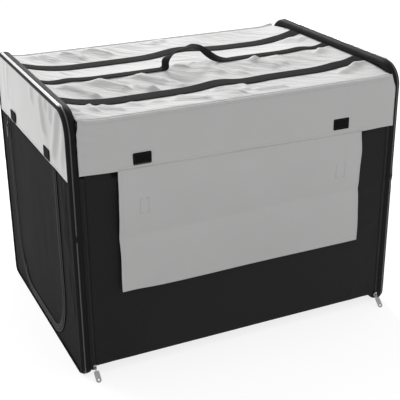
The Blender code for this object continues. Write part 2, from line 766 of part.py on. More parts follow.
def joint_places():
    """Where each moving group turns or slides."""
    high = HEIGHT - LEG_HINGE
    places = {"top": (-X_TUBE, 0, high)}
    for side, x_side in (("left", -1), ("right", 1)):
        places[f"{side}_lower"] = (x_side * X_TUBE, 0, LEG_HINGE)
        places[f"{side}_upper"] = (x_side * (X_TUBE + KNUCKLE_OUT), 0, KNUCKLE_Z)
        tab_y = -Y_WALL_OUT - GAP
        places[f"window_tab_{side}"] = (x_side * FRONT_TAB_X, tab_y, BAND_LOW + TAB_RISE + TAB_TALL)
    flap_y = -(Y_WALL_OUT + GAP + FLAP_CLOTH + FLAP_AXIS)
    places["window_flap"] = (0, flap_y, FLAP_TOP)
    places["door_flap"] = (-(X_PANEL_OUT + TAB_THICK + 2 * GAP), DOOR_MID, DOOR_TOP)
    for name, side in (("front", -1), ("rear", 1)):
        tab_z = END_SEAM + TAB_RISE / 4 + TAB_TALL
        places[f"door_tab_{name}"] = (-X_PANEL_OUT - GAP, DOOR_MID + side * DOOR_TAB_Y, tab_z)
    out = GAP + SLIDER_DEEP + BAR_OUT
    for name, x_side, y_side, z in (
        ("front_left", -1, -1, LOW_REST),
        ("front_right", 1, -1, LOW_REST),
        ("rear_left", -1, 1, OPEN_REST),
        ("rear_right", 1, 1, LOW_REST),
    ):
        places[f"{name}_slider"] = (x_side * X_ZIP, y_side * (Y_WALL_OUT + out), z)
    door_y = DOOR_MID + DOOR_HALF + (DOOR_ZIP + GAP) / 2
    places["door_slider"] = (-X_PANEL_OUT - out, door_y, DOOR_TOP - DOOR_SLIDER_DROP)
    return places


def build():
    clear_scene()
    steel = finish("Dark enamelled tube", (0.05, 0.05, 0.055), 0.4, 0.6)
    bright = finish("Nickelled metal", (0.62, 0.62, 0.62), 0.25, 1.0)
    black = finish("Black cloth", (0.022, 0.022, 0.024), 0.85)
    pale = finish("Pale grey cloth", (0.45, 0.44, 0.44), 0.8)
    net = finish("Black net", (0.02, 0.02, 0.02), 0.7)
    webbing = finish("Charcoal webbing", (0.035, 0.035, 0.037), 0.75)
    fastener = finish("Black hook and loop", (0.012, 0.012, 0.012), 0.95)
    zip_finish = finish("Grey zip", (0.2, 0.2, 0.2), 0.5)
    board = finish("Grey fibreboard", (0.25, 0.24, 0.23), 0.8)
    carriers = {name: pivot(f"{name}_axis", place) for name, place in joint_places().items()}
    frame(steel, carriers)
    sleeves(black, carriers)
    long_walls(black, pale, net)
    ends(black, pale, zip_finish)
    floor(black, board)
    roof(pale, webbing, carriers["top"])
    flaps(pale, black, carriers)
    tabs(fastener, carriers)
    zips(zip_finish, bright, carriers)


build()
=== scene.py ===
# %% [markdown]
# # A folding pet travel crate, dressed
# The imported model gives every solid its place. This lesson sews the cloth, webbing, zips and piping
# over that frame, one piece after another, and gives each its finish.

# %% Load the fixed frame
import json
import math

import bpy
from mathutils import Euler, Matrix, Vector, noise


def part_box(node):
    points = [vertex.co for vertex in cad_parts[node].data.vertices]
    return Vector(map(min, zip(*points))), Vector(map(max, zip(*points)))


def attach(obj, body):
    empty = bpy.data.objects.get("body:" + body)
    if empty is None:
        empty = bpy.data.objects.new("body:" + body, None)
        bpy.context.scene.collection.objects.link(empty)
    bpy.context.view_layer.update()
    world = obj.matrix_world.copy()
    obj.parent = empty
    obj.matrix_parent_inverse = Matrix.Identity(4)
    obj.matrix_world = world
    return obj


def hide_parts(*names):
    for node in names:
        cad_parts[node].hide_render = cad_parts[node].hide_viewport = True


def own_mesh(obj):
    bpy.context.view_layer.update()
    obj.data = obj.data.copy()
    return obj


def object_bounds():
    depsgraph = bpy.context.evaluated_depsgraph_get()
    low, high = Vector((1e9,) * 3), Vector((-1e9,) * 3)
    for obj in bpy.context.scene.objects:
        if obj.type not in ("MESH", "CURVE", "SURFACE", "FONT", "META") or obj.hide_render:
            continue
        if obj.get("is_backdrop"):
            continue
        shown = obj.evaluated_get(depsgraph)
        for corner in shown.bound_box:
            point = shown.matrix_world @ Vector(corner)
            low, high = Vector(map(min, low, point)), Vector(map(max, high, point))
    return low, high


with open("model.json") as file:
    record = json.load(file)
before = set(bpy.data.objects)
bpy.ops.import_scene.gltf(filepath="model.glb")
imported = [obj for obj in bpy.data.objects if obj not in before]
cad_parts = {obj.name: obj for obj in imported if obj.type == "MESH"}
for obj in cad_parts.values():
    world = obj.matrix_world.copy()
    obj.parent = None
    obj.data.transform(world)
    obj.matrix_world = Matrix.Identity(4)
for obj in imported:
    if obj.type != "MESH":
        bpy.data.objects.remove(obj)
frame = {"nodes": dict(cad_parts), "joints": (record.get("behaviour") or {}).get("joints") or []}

cad_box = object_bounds()

# %% [markdown]
# ## Measures
# The frame says where each solid is, so the cloth takes its places from the solids' boxes and not
# from numbers typed again. Only what the solids don't hold, such as a hem's width, is written here.

# %% Read places from the frame
wall_low, wall_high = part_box("front_wall")
band_low, band_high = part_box("front_band")
panel_low, panel_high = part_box("left_end_panel")
end_band_low, end_band_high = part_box("left_end_band")
roof_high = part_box("roof_cloth")[1]
net_low, net_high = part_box("window_net")
cover_low, cover_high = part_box("window_flap")
door_low, door_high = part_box("door_flap")
floor_low, floor_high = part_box("floor_cloth")
FRONT_Y, REAR_Y = wall_low.y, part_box("rear_wall")[1].y
END_X, END_HALF = -panel_low.x, panel_high.y
POST_LOW, POST_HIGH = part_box("left_base_sleeve")[1].z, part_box("left_top_sleeve")[0].z
SLEEVE_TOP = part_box("left_top_sleeve")[1].z
print("height", round(SLEEVE_TOP, 4), "front", round(FRONT_Y, 4), "end", round(END_X, 4))

# %% [markdown]
# The fold shrinks the cloth's height. Each length of cloth keeps its top on the frame that carries it,
# so its share of height left after the fold follows from how far the top frame drops.

# %% How the fold squeezes cloth
joints = {joint["name"]: joint for joint in frame["joints"]}
hinge_low, hinge_high = joints["fold"]["pos_m"][2], joints["top_level"]["pos_m"][2]
TUBE_X = abs(joints["fold"]["pos_m"][0])
knuckle_out = abs(joints["left_knuckle"]["pos_m"][0]) - TUBE_X
turn = math.radians(joints["fold"]["range_deg"][1])
DROP = (hinge_high - hinge_low) * (1 - math.cos(turn)) - 2 * knuckle_out * math.sin(turn)
MEET = (hinge_low + hinge_high - DROP) / 2 + 0.014
print("the top frame drops by", round(DROP, 4))


def squeeze(low, low_after, high, high_after):
    """Anchor height and share that carry low to low_after and high to high_after."""
    keep = (high_after - low_after) / (high - low)
    return (low_after - keep * low) / (1 - keep), keep


WALL_SQUEEZE = squeeze(wall_low.z, wall_low.z, band_high.z, band_high.z - DROP)
PANEL_SQUEEZE = squeeze(panel_low.z, panel_low.z, panel_high.z, MEET)
BAND_SQUEEZE = squeeze(end_band_low.z, MEET, end_band_high.z, end_band_high.z - DROP)
POST_SQUEEZE = squeeze(POST_LOW, POST_LOW, POST_HIGH, POST_HIGH - DROP)


def crumple(pieces):
    """Gives each piece its own copy of its mesh."""
    for piece in pieces:
        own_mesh(piece)


# %% [markdown]
# ## Writing materials as sums
# A wrapped socket lets shader maths read like Python. Each operator adds one Math node, and any other
# node comes from one method, which sets the node up before it fills the sockets.

# %% The graph and its wires
class Wire:
    """A socket that answers to arithmetic."""

    def __init__(self, graph, socket):
        self.graph, self.socket = graph, socket

    def __add__(self, other):
        return self.graph.math("ADD", self, other)

    __radd__ = __add__

    def __sub__(self, other):
        return self.graph.math("SUBTRACT", self, other)

    def __rsub__(self, other):
        return self.graph.math("SUBTRACT", other, self)

    def __mul__(self, other):
        return self.graph.math("MULTIPLY", self, other)

    __rmul__ = __mul__

    def __truediv__(self, other):
        return self.graph.math("DIVIDE", self, other)

    def __rtruediv__(self, other):
        return self.graph.math("DIVIDE", other, self)

    def __mod__(self, other):
        return self.graph.math("FLOORED_MODULO", self, other)

    def __gt__(self, other):
        return self.graph.math("GREATER_THAN", self, other)

    def __abs__(self):
        return self.graph.math("ABSOLUTE", self)


class Graph:
    """A tree of nodes, with short ways to add to it."""

    def __init__(self, tree):
        self.tree = tree

    def node(self, kind, settings=None, inputs=None, output=0):
        """Adds a node: its settings first, then the values or links of its sockets."""
        made = self.tree.nodes.new(kind)
        for key, value in (settings or {}).items():
            setattr(made, key, value)
        for key, value in (inputs or {}).items():
            self.feed(made.inputs[key], value)
        return Wire(self, made.outputs[output])

    def feed(self, socket, value):
        if isinstance(value, Wire):
            self.tree.links.new(value.socket, socket)
        else:
            socket.default_value = value

    def math(self, operation, *values):
        return self.node("ShaderNodeMath", {"operation": operation}, dict(enumerate(values)))

    def sine(self, value):
        return self.math("SINE", value)

    def clamp(self, value, low=0.0, high=1.0):
        return self.math("MINIMUM", self.math("MAXIMUM", value, low), high)

    def colours(self, share, first, second):
        """Mixes two colours by a share."""
        inputs = {0: share, 6: (*first, 1), 7: (*second, 1)}
        return self.node("ShaderNodeMix", {"data_type": "RGBA"}, inputs, output=2)

    def cloud(self, place, scale, detail=2.0):
        """Soft noise between 0 and 1."""
        return self.node("ShaderNodeTexNoise", inputs={"Vector": place, "Scale": scale, "Detail": detail})

    def seen(self):
        """1 for what the camera, a glossy or a clear ray meets, 0 for the light that falls on things."""
        path = self.node("ShaderNodeLightPath")
        outputs = path.socket.node.outputs
        glossy, clear = (Wire(self, outputs[name]) for name in ("Is Glossy Ray", "Is Transmission Ray"))
        return self.math("MAXIMUM", self.math("MAXIMUM", path, glossy), clear)


class Finish(Graph):
    """One material on the Principled shader."""

    def __init__(self, name):
        self.material = bpy.data.materials.new(name)
        self.material.use_nodes = True
        super().__init__(self.material.node_tree)
        self.shader = self.tree.nodes["Principled BSDF"]

    def cut(self):
        """The cloth's own measures in metres: both together, along it, and across it."""
        place = self.node("ShaderNodeUVMap", {"uv_map": "cut"})
        along = self.node("ShaderNodeSeparateXYZ", inputs={0: place})
        return place, along, Wire(self, along.socket.node.outputs[1])

    def surface(self, colour, roughness, bumps, **fixed):
        """Joins colour, roughness and a stack of bumps, given as (height, strength, distance)."""
        self.feed(self.shader.inputs["Base Color"], colour)
        self.feed(self.shader.inputs["Roughness"], roughness)
        inputs = {}
        for height, strength, distance in bumps:
            inputs.update({"Height": height, "Strength": strength, "Distance": distance})
            inputs["Normal"] = self.node("ShaderNodeBump", inputs=inputs)
        self.feed(self.shader.inputs["Normal"], inputs["Normal"])
        for name, value in fixed.items():
            self.shader.inputs[name.replace("_", " ")].default_value = value
        return self.material


# %% [markdown]
# ## Woven cloth
# The cover is a coated plain weave. Two sine waves at right angles give the threads, a soft cloud gives
# the uneven coating, and a finer one the odd slub. The threads are drawn in the cloth's own measures,
# so they keep their size on every panel. Image textures would blur close up, so waves are used.

# %% Coated plain weave, pale or black
THREAD = 0.0011


def woven(name, colour, deeper, roughness, creased=0.0, **fixed):
    """Plain weave. Creased, it has fine pull lines that run slantwise, this deep in metres."""
    cloth = Finish(name)
    place, along, across = cloth.cut()
    warp, weft = (cloth.sine(way * (2 * math.pi / THREAD)) for way in (along, across))
    over = warp * weft
    ridge = abs(warp) * 0.5 + abs(weft) * 0.5
    patch, slub = cloth.cloud(place, 9.0, 3.0), cloth.cloud(place, 160.0)
    shade = cloth.clamp(0.5 + (patch - 0.5) * 0.9 + (slub - 0.5) * 0.35 - over * 0.1)
    bumps = [(slub, 0.15, 0.0004), (over * 0.5 + ridge, 0.35, 0.0002)]
    if creased:
        slant = {0: (along * 0.71 + across * 0.71) * 62.0, 1: (along * 0.71 - across * 0.71) * 13.0}
        pulled = cloth.cloud(cloth.node("ShaderNodeCombineXYZ", inputs=slant), 1.0, 3.0)
        bumps.insert(0, (pulled, 1.0, creased))
    return cloth.surface(
        cloth.colours(shade, deeper, colour),
        cloth.clamp(roughness + (patch - 0.5) * 0.16 + over * 0.04),
        bumps,
        **fixed,
    )


PALE_CLOTH = woven("Pale grey cloth", (0.60, 0.594, 0.592), (0.55, 0.544, 0.542), 0.68, Sheen_Weight=0.04,
                   Specular_IOR_Level=0.25)
ROOF_CLOTH = woven("Pale grey roof cloth", (0.60, 0.594, 0.592), (0.55, 0.544, 0.542), 0.75, creased=0.006,
                   Specular_IOR_Level=0.1)
WALL_CLOTH = woven("Black wall cloth", (0.0145, 0.0145, 0.0155), (0.0095, 0.0095, 0.0105), 0.62,
                   Specular_IOR_Level=0.16)
END_CLOTH = woven("Black end cloth", (0.0135, 0.0135, 0.0145), (0.0088, 0.0088, 0.0097), 0.78,
                  Specular_IOR_Level=0.05)
SLEEVE_CLOTH = woven("Black sleeve cloth", (0.014, 0.014, 0.015), (0.0092, 0.0092, 0.0102), 0.7,
                     Specular_IOR_Level=0.09)
print("cloth finishes made")

# %% [markdown]
# ## Webbing
# Belt webbing has fine ribs across it and a firmer edge on each side. The ribs are a wave along the
# strap, broken by a second wave across so that they read as rows of yarn.

# %% Charcoal webbing
def webbing_finish(name, half):
    """Ribbed webbing for a strap of this half width."""
    belt = Finish(name)
    place, along, across = belt.cut()
    rib = belt.sine(along * (2 * math.pi / 0.0016))
    yarn = belt.sine(across * (2 * math.pi / 0.0021) + rib)
    fuzz = belt.cloud(place, 260.0)
    edge = belt.clamp((abs(across) - (half - 0.0022)) * 900.0)
    shade = belt.clamp(0.42 + rib * 0.2 + yarn * 0.15 + (fuzz - 0.5) * 0.5 + edge * 0.2)
    return belt.surface(
        belt.colours(shade, (0.006, 0.006, 0.0064), (0.018, 0.018, 0.0188)),
        belt.clamp(0.84 + rib * 0.06),
        [(rib * 0.6 + yarn * 0.4, 0.6, 0.0004), (fuzz + edge, 0.25, 0.0003)],
        Specular_IOR_Level=0.05,
    )


WIDE, NARROW = 0.038, 0.025
WIDE_WEBBING = webbing_finish("Wide charcoal webbing", WIDE / 2)
NARROW_WEBBING = webbing_finish("Narrow charcoal webbing", NARROW / 2)

# %% [markdown]
# ## Hook and loop, zip tape and net
# Hook tape is a dense pile that swallows light. A coil zip is a ribbed line between two woven tapes.
# The window's net is a sheet with real holes in its finish, made with the Alpha socket, because
# thousands of holes cut in a mesh would be heavy and look the same.

# %% Hook and loop pile
def pile_finish():
    pile = Finish("Black hook and loop")
    place = pile.cut()[0]
    tuft = pile.node("ShaderNodeTexVoronoi", inputs={"Vector": place, "Scale": 900.0})
    fuzz = pile.cloud(place, 420.0, 3.0)
    shade = pile.clamp(0.2 + tuft * 0.7 + (fuzz - 0.5) * 0.4)
    return pile.surface(
        pile.colours(shade, (0.003, 0.003, 0.0034), (0.010, 0.010, 0.0108)),
        pile.clamp(0.9 + (fuzz - 0.5) * 0.2),
        [(tuft + fuzz * 0.5, 0.8, 0.0006)],
        Specular_IOR_Level=0.1,
    )


HOOK_AND_LOOP = pile_finish()


# %% Zip tape and its coil
def tape_finish():
    tape = Finish("Zip tape")
    place, along, across = tape.cut()
    twill = tape.sine((along + across) * (2 * math.pi / 0.0009))
    fuzz = tape.cloud(place, 300.0)
    shade = tape.clamp(0.5 + twill * 0.25 + (fuzz - 0.5) * 0.5)
    return tape.surface(
        tape.colours(shade, (0.011, 0.011, 0.012), (0.021, 0.021, 0.0225)),
        tape.clamp(0.7 + twill * 0.08),
        [(twill, 0.4, 0.0002)],
        Specular_IOR_Level=0.15,
    )


def coil_finish():
    coil = Finish("Zip coil")
    along = coil.cut()[1]
    tooth = coil.sine(along * (2 * math.pi / 0.0013))
    return coil.surface(
        coil.colours(coil.clamp(0.5 + tooth * 0.5), (0.009, 0.009, 0.01), (0.03, 0.03, 0.032)),
        coil.clamp(0.45 - tooth * 0.08),
        [(tooth, 0.9, 0.0006)],
        Specular_IOR_Level=0.3,
    )


ZIP_TAPE, ZIP_COIL = tape_finish(), coil_finish()


# %% Net with round holes
def net_finish():
    net = Finish("Black net")
    place, along, across = net.cut()
    pitch, hole = 0.0021, 0.36
    row = net.math("FLOOR", across / pitch)
    x = (along / pitch + (row % 2.0) * 0.5) % 1.0 - 0.5
    y = (across / pitch) % 1.0 - 0.5
    away = x * x + y * y
    net.feed(net.shader.inputs["Alpha"], away > hole**2)
    fuzz = net.cloud(place, 200.0)
    return net.surface(
        net.colours(fuzz, (0.008, 0.008, 0.0085), (0.02, 0.02, 0.021)),
        net.clamp(0.6 + (fuzz - 0.5) * 0.2),
        [(net.clamp(away * 4.0), 0.3, 0.0004)],
    )


NET = net_finish()

# %% [markdown]
# ## Trim and metal
# Piping is a smooth skinned cord that shines. The sliders are nickelled castings, the frame is
# enamelled tube, and the floor is a fibreboard. All get small changes of tone and gloss from two
# clouds, because nothing real is even.

# %% Piping, thread, nickel, enamel and board
def plain(name, dark, light, roughness, scale=60.0, bump=0.15, **fixed):
    made = Finish(name)
    place = made.node("ShaderNodeTexCoord", output=3)
    fine, coarse = made.cloud(place, scale * 6, 3.0), made.cloud(place, scale)
    shade = made.clamp(0.5 + (coarse - 0.5) * 1.2 + (fine - 0.5) * 0.5)
    return made.surface(
        made.colours(shade, dark, light),
        made.clamp(roughness + (fine - 0.5) * 0.2 + (coarse - 0.5) * 0.1),
        [(fine, bump, 0.0003)],
        **fixed,
    )


def grey(tone, warm=0.0):
    """A grey, a little warmer where asked."""
    return (tone * (1 + warm), tone, tone * (1 - warm))


# A painted highlight: pale piping laid only on the top run, where light falls, over dark piping that runs
# all round.
PAINTED_HIGHLIGHT_PIPING = plain("Pale piping", grey(0.62), grey(0.74), 0.3, scale=40.0, bump=0.05, Coat_Weight=0.6)
DARK_PIPING = plain("Dark piping", grey(0.03), grey(0.055), 0.4, scale=40.0, bump=0.05, Coat_Weight=0.3)
ZIP_EDGE = plain("Zip tape edge", grey(0.03), grey(0.055), 0.6, scale=40.0)
PALE_THREAD = plain("Pale thread", grey(0.62, 0.01), grey(0.78, 0.01), 0.7, scale=200.0)
GREY_THREAD = plain("Grey thread", grey(0.28), grey(0.40), 0.7, scale=200.0)
DARK_THREAD = plain("Dark thread", grey(0.02), grey(0.05), 0.7, scale=200.0)
NICKEL = plain("Nickelled metal", grey(0.22, 0.01), grey(0.36, 0.01), 0.3, scale=90.0, bump=0.06,
               Metallic=1.0)
DARK_METAL = plain("Dark coated metal", grey(0.015), grey(0.03), 0.45, scale=90.0, bump=0.06)
ENAMEL = plain("Dark enamelled tube", grey(0.02), grey(0.045), 0.32, scale=30.0, Coat_Weight=0.3)
BOARD = plain("Grey fibreboard", grey(0.185, 0.02), grey(0.26, 0.02), 0.82, scale=25.0, bump=0.4)

for name, node in frame["nodes"].items():
    finish = None
    if name.endswith(("_slider", "_pull")):
        finish = NICKEL
    elif "hoop" in name or "rail" in name or name.endswith("_leg"):
        finish = ENAMEL
    elif name == "floor_board":
        finish = BOARD
    for slot in node.material_slots if finish else ():
        slot.material = finish
print("metal and board finishes set")

# %% [markdown]
# ## Cutting cloth
# Every panel starts as a grid of points with its own measures in metres, so one helper turns a grid
# into a mesh, thickens it and sets the finish. A grid is easy to bend, hem and wrinkle by moving
# points, which is why it is used here instead of a flat plane with modifiers.

# %% Small shapes in numbers
def steps(low, high, size):
    """Even stations from low to high, about as far apart as asked."""
    count = max(1, round(abs(high - low) / size))
    return [low + (high - low) * i / count for i in range(count + 1)]


def fade(value, low, high):
    """0 below low, 1 above high, and a soft change between."""
    share = min(max((value - low) / (high - low), 0.0), 1.0)
    return share * share * (3 - 2 * share)


def crest(away, width):
    """1 at no distance, and next to nothing beyond two widths."""
    return math.exp(-((away / width) ** 2))


def wobble(a, b, seed):
    """Smooth noise between about -1 and 1."""
    return noise.noise(Vector((a, b, seed)))


class Folds:
    """Soft ridges in cloth. Each is a width, a height and the points it runs through, in mm.

    A pulled fold leans over: it falls off sharply towards one side and slowly towards the other.
    """

    TAPER, STEEP, GENTLE = 0.018, 0.55, 1.35

    def __init__(self, ridges, leans=(1.0, 0.0)):
        self.ridges, self.leans = [], Vector(leans)
        for width, height, *line in ridges:
            line = [Vector(point) * 0.001 for point in line]
            reach = width * 0.0032
            low = [min(point[k] for point in line) - reach for k in (0, 1)]
            high = [max(point[k] for point in line) + reach for k in (0, 1)]
            self.ridges.append((width * 0.001, height * 0.001, line, low, high))

    @staticmethod
    def beside(line, spot):
        """The way from a line to a spot, and how far from the line's ends its nearest point is."""
        nearest, inside, run = Vector((9.0, 9.0)), 0.0, 0.0
        length = sum((b - a).length for a, b in zip(line, line[1:]))
        for a, b in zip(line, line[1:]):
            span = b - a
            share = min(max((spot - a).dot(span) / span.length_squared, 0.0), 1.0)
            away = spot - a - span * share
            if away.length < nearest.length:
                done = run + share * span.length
                nearest, inside = away, min(done, length - done)
            run += span.length
        return nearest, inside

    def __call__(self, x, y):
        total = 0.0
        for width, height, line, low, high in self.ridges:
            if low[0] < x < high[0] and low[1] < y < high[1]:
                away, inside = self.beside(line, Vector((x, y)))
                width *= self.STEEP if away.dot(self.leans) > 0 else self.GENTLE
                total += height * crest(away.length, width) * fade(inside, -0.004, self.TAPER)
        return total


# %% Grid to cloth
def add_piece(name, points, faces, finish, body):
    mesh = bpy.data.meshes.new(name)
    mesh.from_pydata(points, [], faces)
    mesh.materials.append(finish)
    mesh.shade_smooth()
    piece = bpy.data.objects.new(name, mesh)
    bpy.context.scene.collection.objects.link(piece)
    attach(piece, body)
    return piece


def rows_of(acrosses, heights, place):
    """Rows of points, each with its measures along and up the cloth."""
    return [[(place(a, h), (a, h)) for a in acrosses] for h in heights]


def cloth(name, grid, finish, body, thick=0.0, node=None, outward=None, skip=None, closed=False):
    """A sheet from rows of (point, (along, across)). A closed one is a tube of rings."""
    columns = len(grid[0])
    faces = []
    for i in range(len(grid) - 1):
        for j in range(columns if closed else columns - 1):
            k = (j + 1) % columns
            here, above = i * columns, (i + 1) * columns
            if not (skip and skip(i, j)):
                faces.append((here + j, here + k, above + k, above + j))
    cuts = [cut for row in grid for _, cut in row]
    piece = add_piece(name, [spot for row in grid for spot, _ in row], faces, finish, body)
    mesh = piece.data
    if closed:
        hubs = [sum((spot for spot, _ in row), Vector()) / columns for row in grid]
        facing = sum(face.normal.dot(face.center - hubs[face.index // columns]) for face in mesh.polygons)
    else:
        facing = sum(face.normal.dot(Vector(outward)) for face in mesh.polygons)
    if facing < 0:
        mesh.flip_normals()
    layer = mesh.uv_layers.new(name="cut")
    for loop in mesh.loops:
        layer.data[loop.index].uv = cuts[loop.vertex_index]
    if thick:
        solid = piece.modifiers.new("Thickness", "SOLIDIFY")
        solid.thickness, solid.offset = thick, -1.0
    if node:
        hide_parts(node)
    return piece


# %% [markdown]
# ## Sewing and piping
# A seam on the real cover is a row of short thread stitches that stand a little proud. Each is a small
# pointed grain along the seam, and a whole row is one object. Round trim is a tube along a path.

# %% Stitch rows and tubes
def resample(path, pitch):
    """Points spaced evenly along a path, with their directions."""
    out, carried = [], 0.0
    for a, b in zip(path, path[1:]):
        run = (b - a).length
        spot = carried
        while spot < run:
            out.append((a.lerp(b, spot / run), (b - a) / run))
            spot += pitch
        carried = spot - run
    return out


def stitches(name, paths, outward, finish, body, pitch=0.0036, long=0.0026, wide=0.0006, high=0.0004):
    """Rows of thread along paths that lie on cloth facing outward."""
    up = Vector(outward)
    points, faces = [], []
    for path in paths:
        for spot, direction in resample([Vector(p) for p in path], pitch):
            side = direction.cross(up).normalized() * wide / 2
            first = len(points)
            tail = spot - direction * long / 2
            points += [tail, tail + direction * long]
            for share in (0.25, 0.75):
                middle = tail + direction * long * share
                points += [middle - side, middle + up * high, middle + side, middle - up * high * 0.5]
            for i in range(4):
                k = (i + 1) % 4
                faces += [
                    (first, first + 2 + k, first + 2 + i),
                    (first + 2 + i, first + 2 + k, first + 6 + k, first + 6 + i),
                    (first + 1, first + 6 + i, first + 6 + k),
                ]
    return add_piece(name, points, faces, finish, body)


def tube(name, path, radius, finish, body, sides=8, pinched=False):
    """Round trim along a path of vectors in a plane across X. Pinched, it closes at its ends."""
    grid, run = [], 0.0
    for i, spot in enumerate(path):
        direction = (path[min(i + 1, len(path) - 1)] - path[max(i - 1, 0)]).normalized()
        run += (spot - path[i - 1]).length if i else 0.0
        side = direction.cross(Vector((1, 0, 0))).normalized()
        row = []
        for k in range(sides):
            angle = 2 * math.pi * k / sides
            away = side * math.cos(angle) + Vector((math.sin(angle), 0, 0))
            full = radius * (0.2 if pinched and i in (0, len(path) - 1) else 1.0)
            row.append((spot + away * full, (run, angle * radius)))
        grid.append(row)
    return cloth(name, grid, finish, body, closed=True)


# %% [markdown]
# ## Front and rear walls
# Each long side is a black wall with a pale band sewn above it. The front wall has the window, so its
# grid is laid out with lines on the window's edge and the faces inside are left out. The walls are
# pulled between the hoops, with faint creases near both ends and puckers low down.

# %% Walls
WALL_CREASES = Folds([
    (6, 1.5, (-308, 246), (-286, 240), (-262, 237)),
    (6, 1.5, (-320, 161), (-272, 152)),
    (6, 1.5, (264, 281), (318, 278)),
    (6, 1.5, (278, 197), (320, 192)),
    (7, 1.5, (-318, 60), (-290, 78)),
    (7, 1.5, (318, 96), (296, 118)),
    (5, 1.8, (-254, 25), (-238, 46)),
    (5, 1.8, (256, 28), (272, 48)),
    (12, 1.6, (-216, 36), (-205, 120)),
], leans=(0.0, -1.0))
WALL_THICK, WALL_TUCK = 0.0009, 0.011
BEHIND_HALF, BEHIND_DEEP = 0.275, 0.0075


def wall_depth(x, z, seed):
    """How far a long wall stands in from flat. Its top tucks in, deepest in the middle."""
    edge = fade(wall_high.x - abs(x), 0.0, 0.02)
    hollow = 0.0011 * (0.5 + 0.5 * wobble(x * 5, z * 7, seed))
    pucker = 0.0012 * wobble(x * 34, z * 12, seed + 5) * (1 - fade(z, 0.03, 0.13)) * fade(abs(x), 0.18, 0.3)
    behind = BEHIND_DEEP * fade(BEHIND_HALF - abs(x), 0.0, 0.01)
    behind *= fade(z, wall_high.z - 0.010, wall_high.z - 0.003)
    tucked = 0.0012 * fade(z, wall_high.z - 0.008, wall_high.z) + behind
    return edge * (hollow + pucker - WALL_CREASES(x, z)) + tucked


window_x, window_z = net_high.x, (net_low.z, net_high.z)
xs = [*steps(wall_low.x, -window_x, 0.005)[:-1], *steps(-window_x, window_x, 0.007),
      *steps(window_x, wall_high.x, 0.005)[1:]]
zs = [*steps(wall_low.z, window_z[0], 0.005)[:-1], *steps(*window_z, 0.005),
      *steps(window_z[1], wall_high.z + WALL_TUCK, 0.005)[1:]]


def in_window(i, j):
    x, z = (xs[j] + xs[j + 1]) / 2, (zs[i] + zs[i + 1]) / 2
    return abs(x) < window_x and window_z[0] < z < window_z[1]


front_wall = cloth(
    "front_wall_cloth", rows_of(xs, zs, lambda x, z: Vector((x, FRONT_Y + wall_depth(x, z, 3.0), z))),
    WALL_CLOTH, "base", WALL_THICK, "front_wall", (0, -1, 0), skip=in_window,
)
rear_wall = cloth(
    "rear_wall_cloth",
    rows_of(steps(wall_low.x, wall_high.x, 0.008), steps(wall_low.z, wall_high.z + WALL_TUCK, 0.008),
            lambda x, z: Vector((x, REAR_Y - wall_depth(-x, z, 8.0), z))),
    WALL_CLOTH, "base", WALL_THICK, "rear_wall", (0, 1, 0),
)
seams = [
    stitches(f"front_wall_seam_{name}", [[(x, FRONT_Y + 0.0003, z) for z in steps(0.030, 0.130, 0.01)]],
             (0, -1, 0), DARK_THREAD, "base")
    for name, x in (("left", -0.235), ("right", 0.235))
]
crumple([front_wall, rear_wall, *seams])

# %% [markdown]
# The window itself is fine net, bound round its edge with folded tape. It only shows when its cover is
# lifted, but it is made in full because the crate is looked at from all sides and in all positions.

# %% Window net and binding
net = cloth(
    "window_net_cloth",
    rows_of(steps(-window_x, window_x, 0.012), steps(*window_z, 0.012),
            lambda x, z: Vector((x, net_low.y + 0.0004 * math.sin(x * 40) * math.sin(z * 50), z))),
    NET, "base", node="window_net", outward=(0, -1, 0),
)


def ring_rows(half_x, low, high, reaches, round_by, proud):
    """A bound edge round a rectangle, as rings from its inner to its outer edge."""
    middle, half_z = (low + high) / 2, (high - low) / 2
    rows = []
    for share in (0.0, 0.15, 0.5, 0.85, 1.0):
        reach = reaches[0] + (reaches[1] - reaches[0]) * share
        lift = proud * math.sin(math.pi * share) ** 0.6
        ring, run = [], 0.0
        for corner in range(17):
            way, step = divmod(corner % 16, 4)
            angle = math.pi / 2 * (way + step / 3)
            sx, sz = ((1, 1), (-1, 1), (-1, -1), (1, -1))[way]
            spot = Vector((
                sx * (half_x - round_by) + (round_by + reach) * math.cos(angle),
                FRONT_Y - lift,
                middle + sz * (half_z - round_by) + (round_by + reach) * math.sin(angle),
            ))
            run += (spot - ring[-1][0]).length if ring else 0.0
            ring.append((spot, (run, reach)))
        rows.append(ring)
    return rows


binding = cloth("window_binding", ring_rows(window_x, *window_z, (-0.008, 0.006), 0.02, 0.0005), ZIP_TAPE,
                "base", outward=(0, -1, 0))
crumple([net, binding])

# %% [markdown]
# The pale band is a separate strip, sewn to the roof above and turned under in a hem below. It laps
# over the corner zips. The hem is double, so it stands a little proud, and its stitches are a paler
# row. At the left hoop the cloth is pinched and gathers a little.

# %% Pale bands and their seams
HEM = 0.011
BAND_HALF = roof_high.x
BAND_TALL = band_high.z - band_low.z


def roof_edge(x):
    """Height of the roof's front edge, which rises a little where it meets the hoops."""
    return band_high.z + 0.005 * crest(x + BAND_HALF, 0.022) + 0.0025 * crest(x - BAND_HALF, 0.022)


def band_foot(x):
    """Height of a long band's lower edge, which is pulled up at its left."""
    return band_low.z - 0.0007 + 0.0055 * (0.26 - x) / 0.52 + 0.002 * fade(abs(x), 0.26, 0.33)


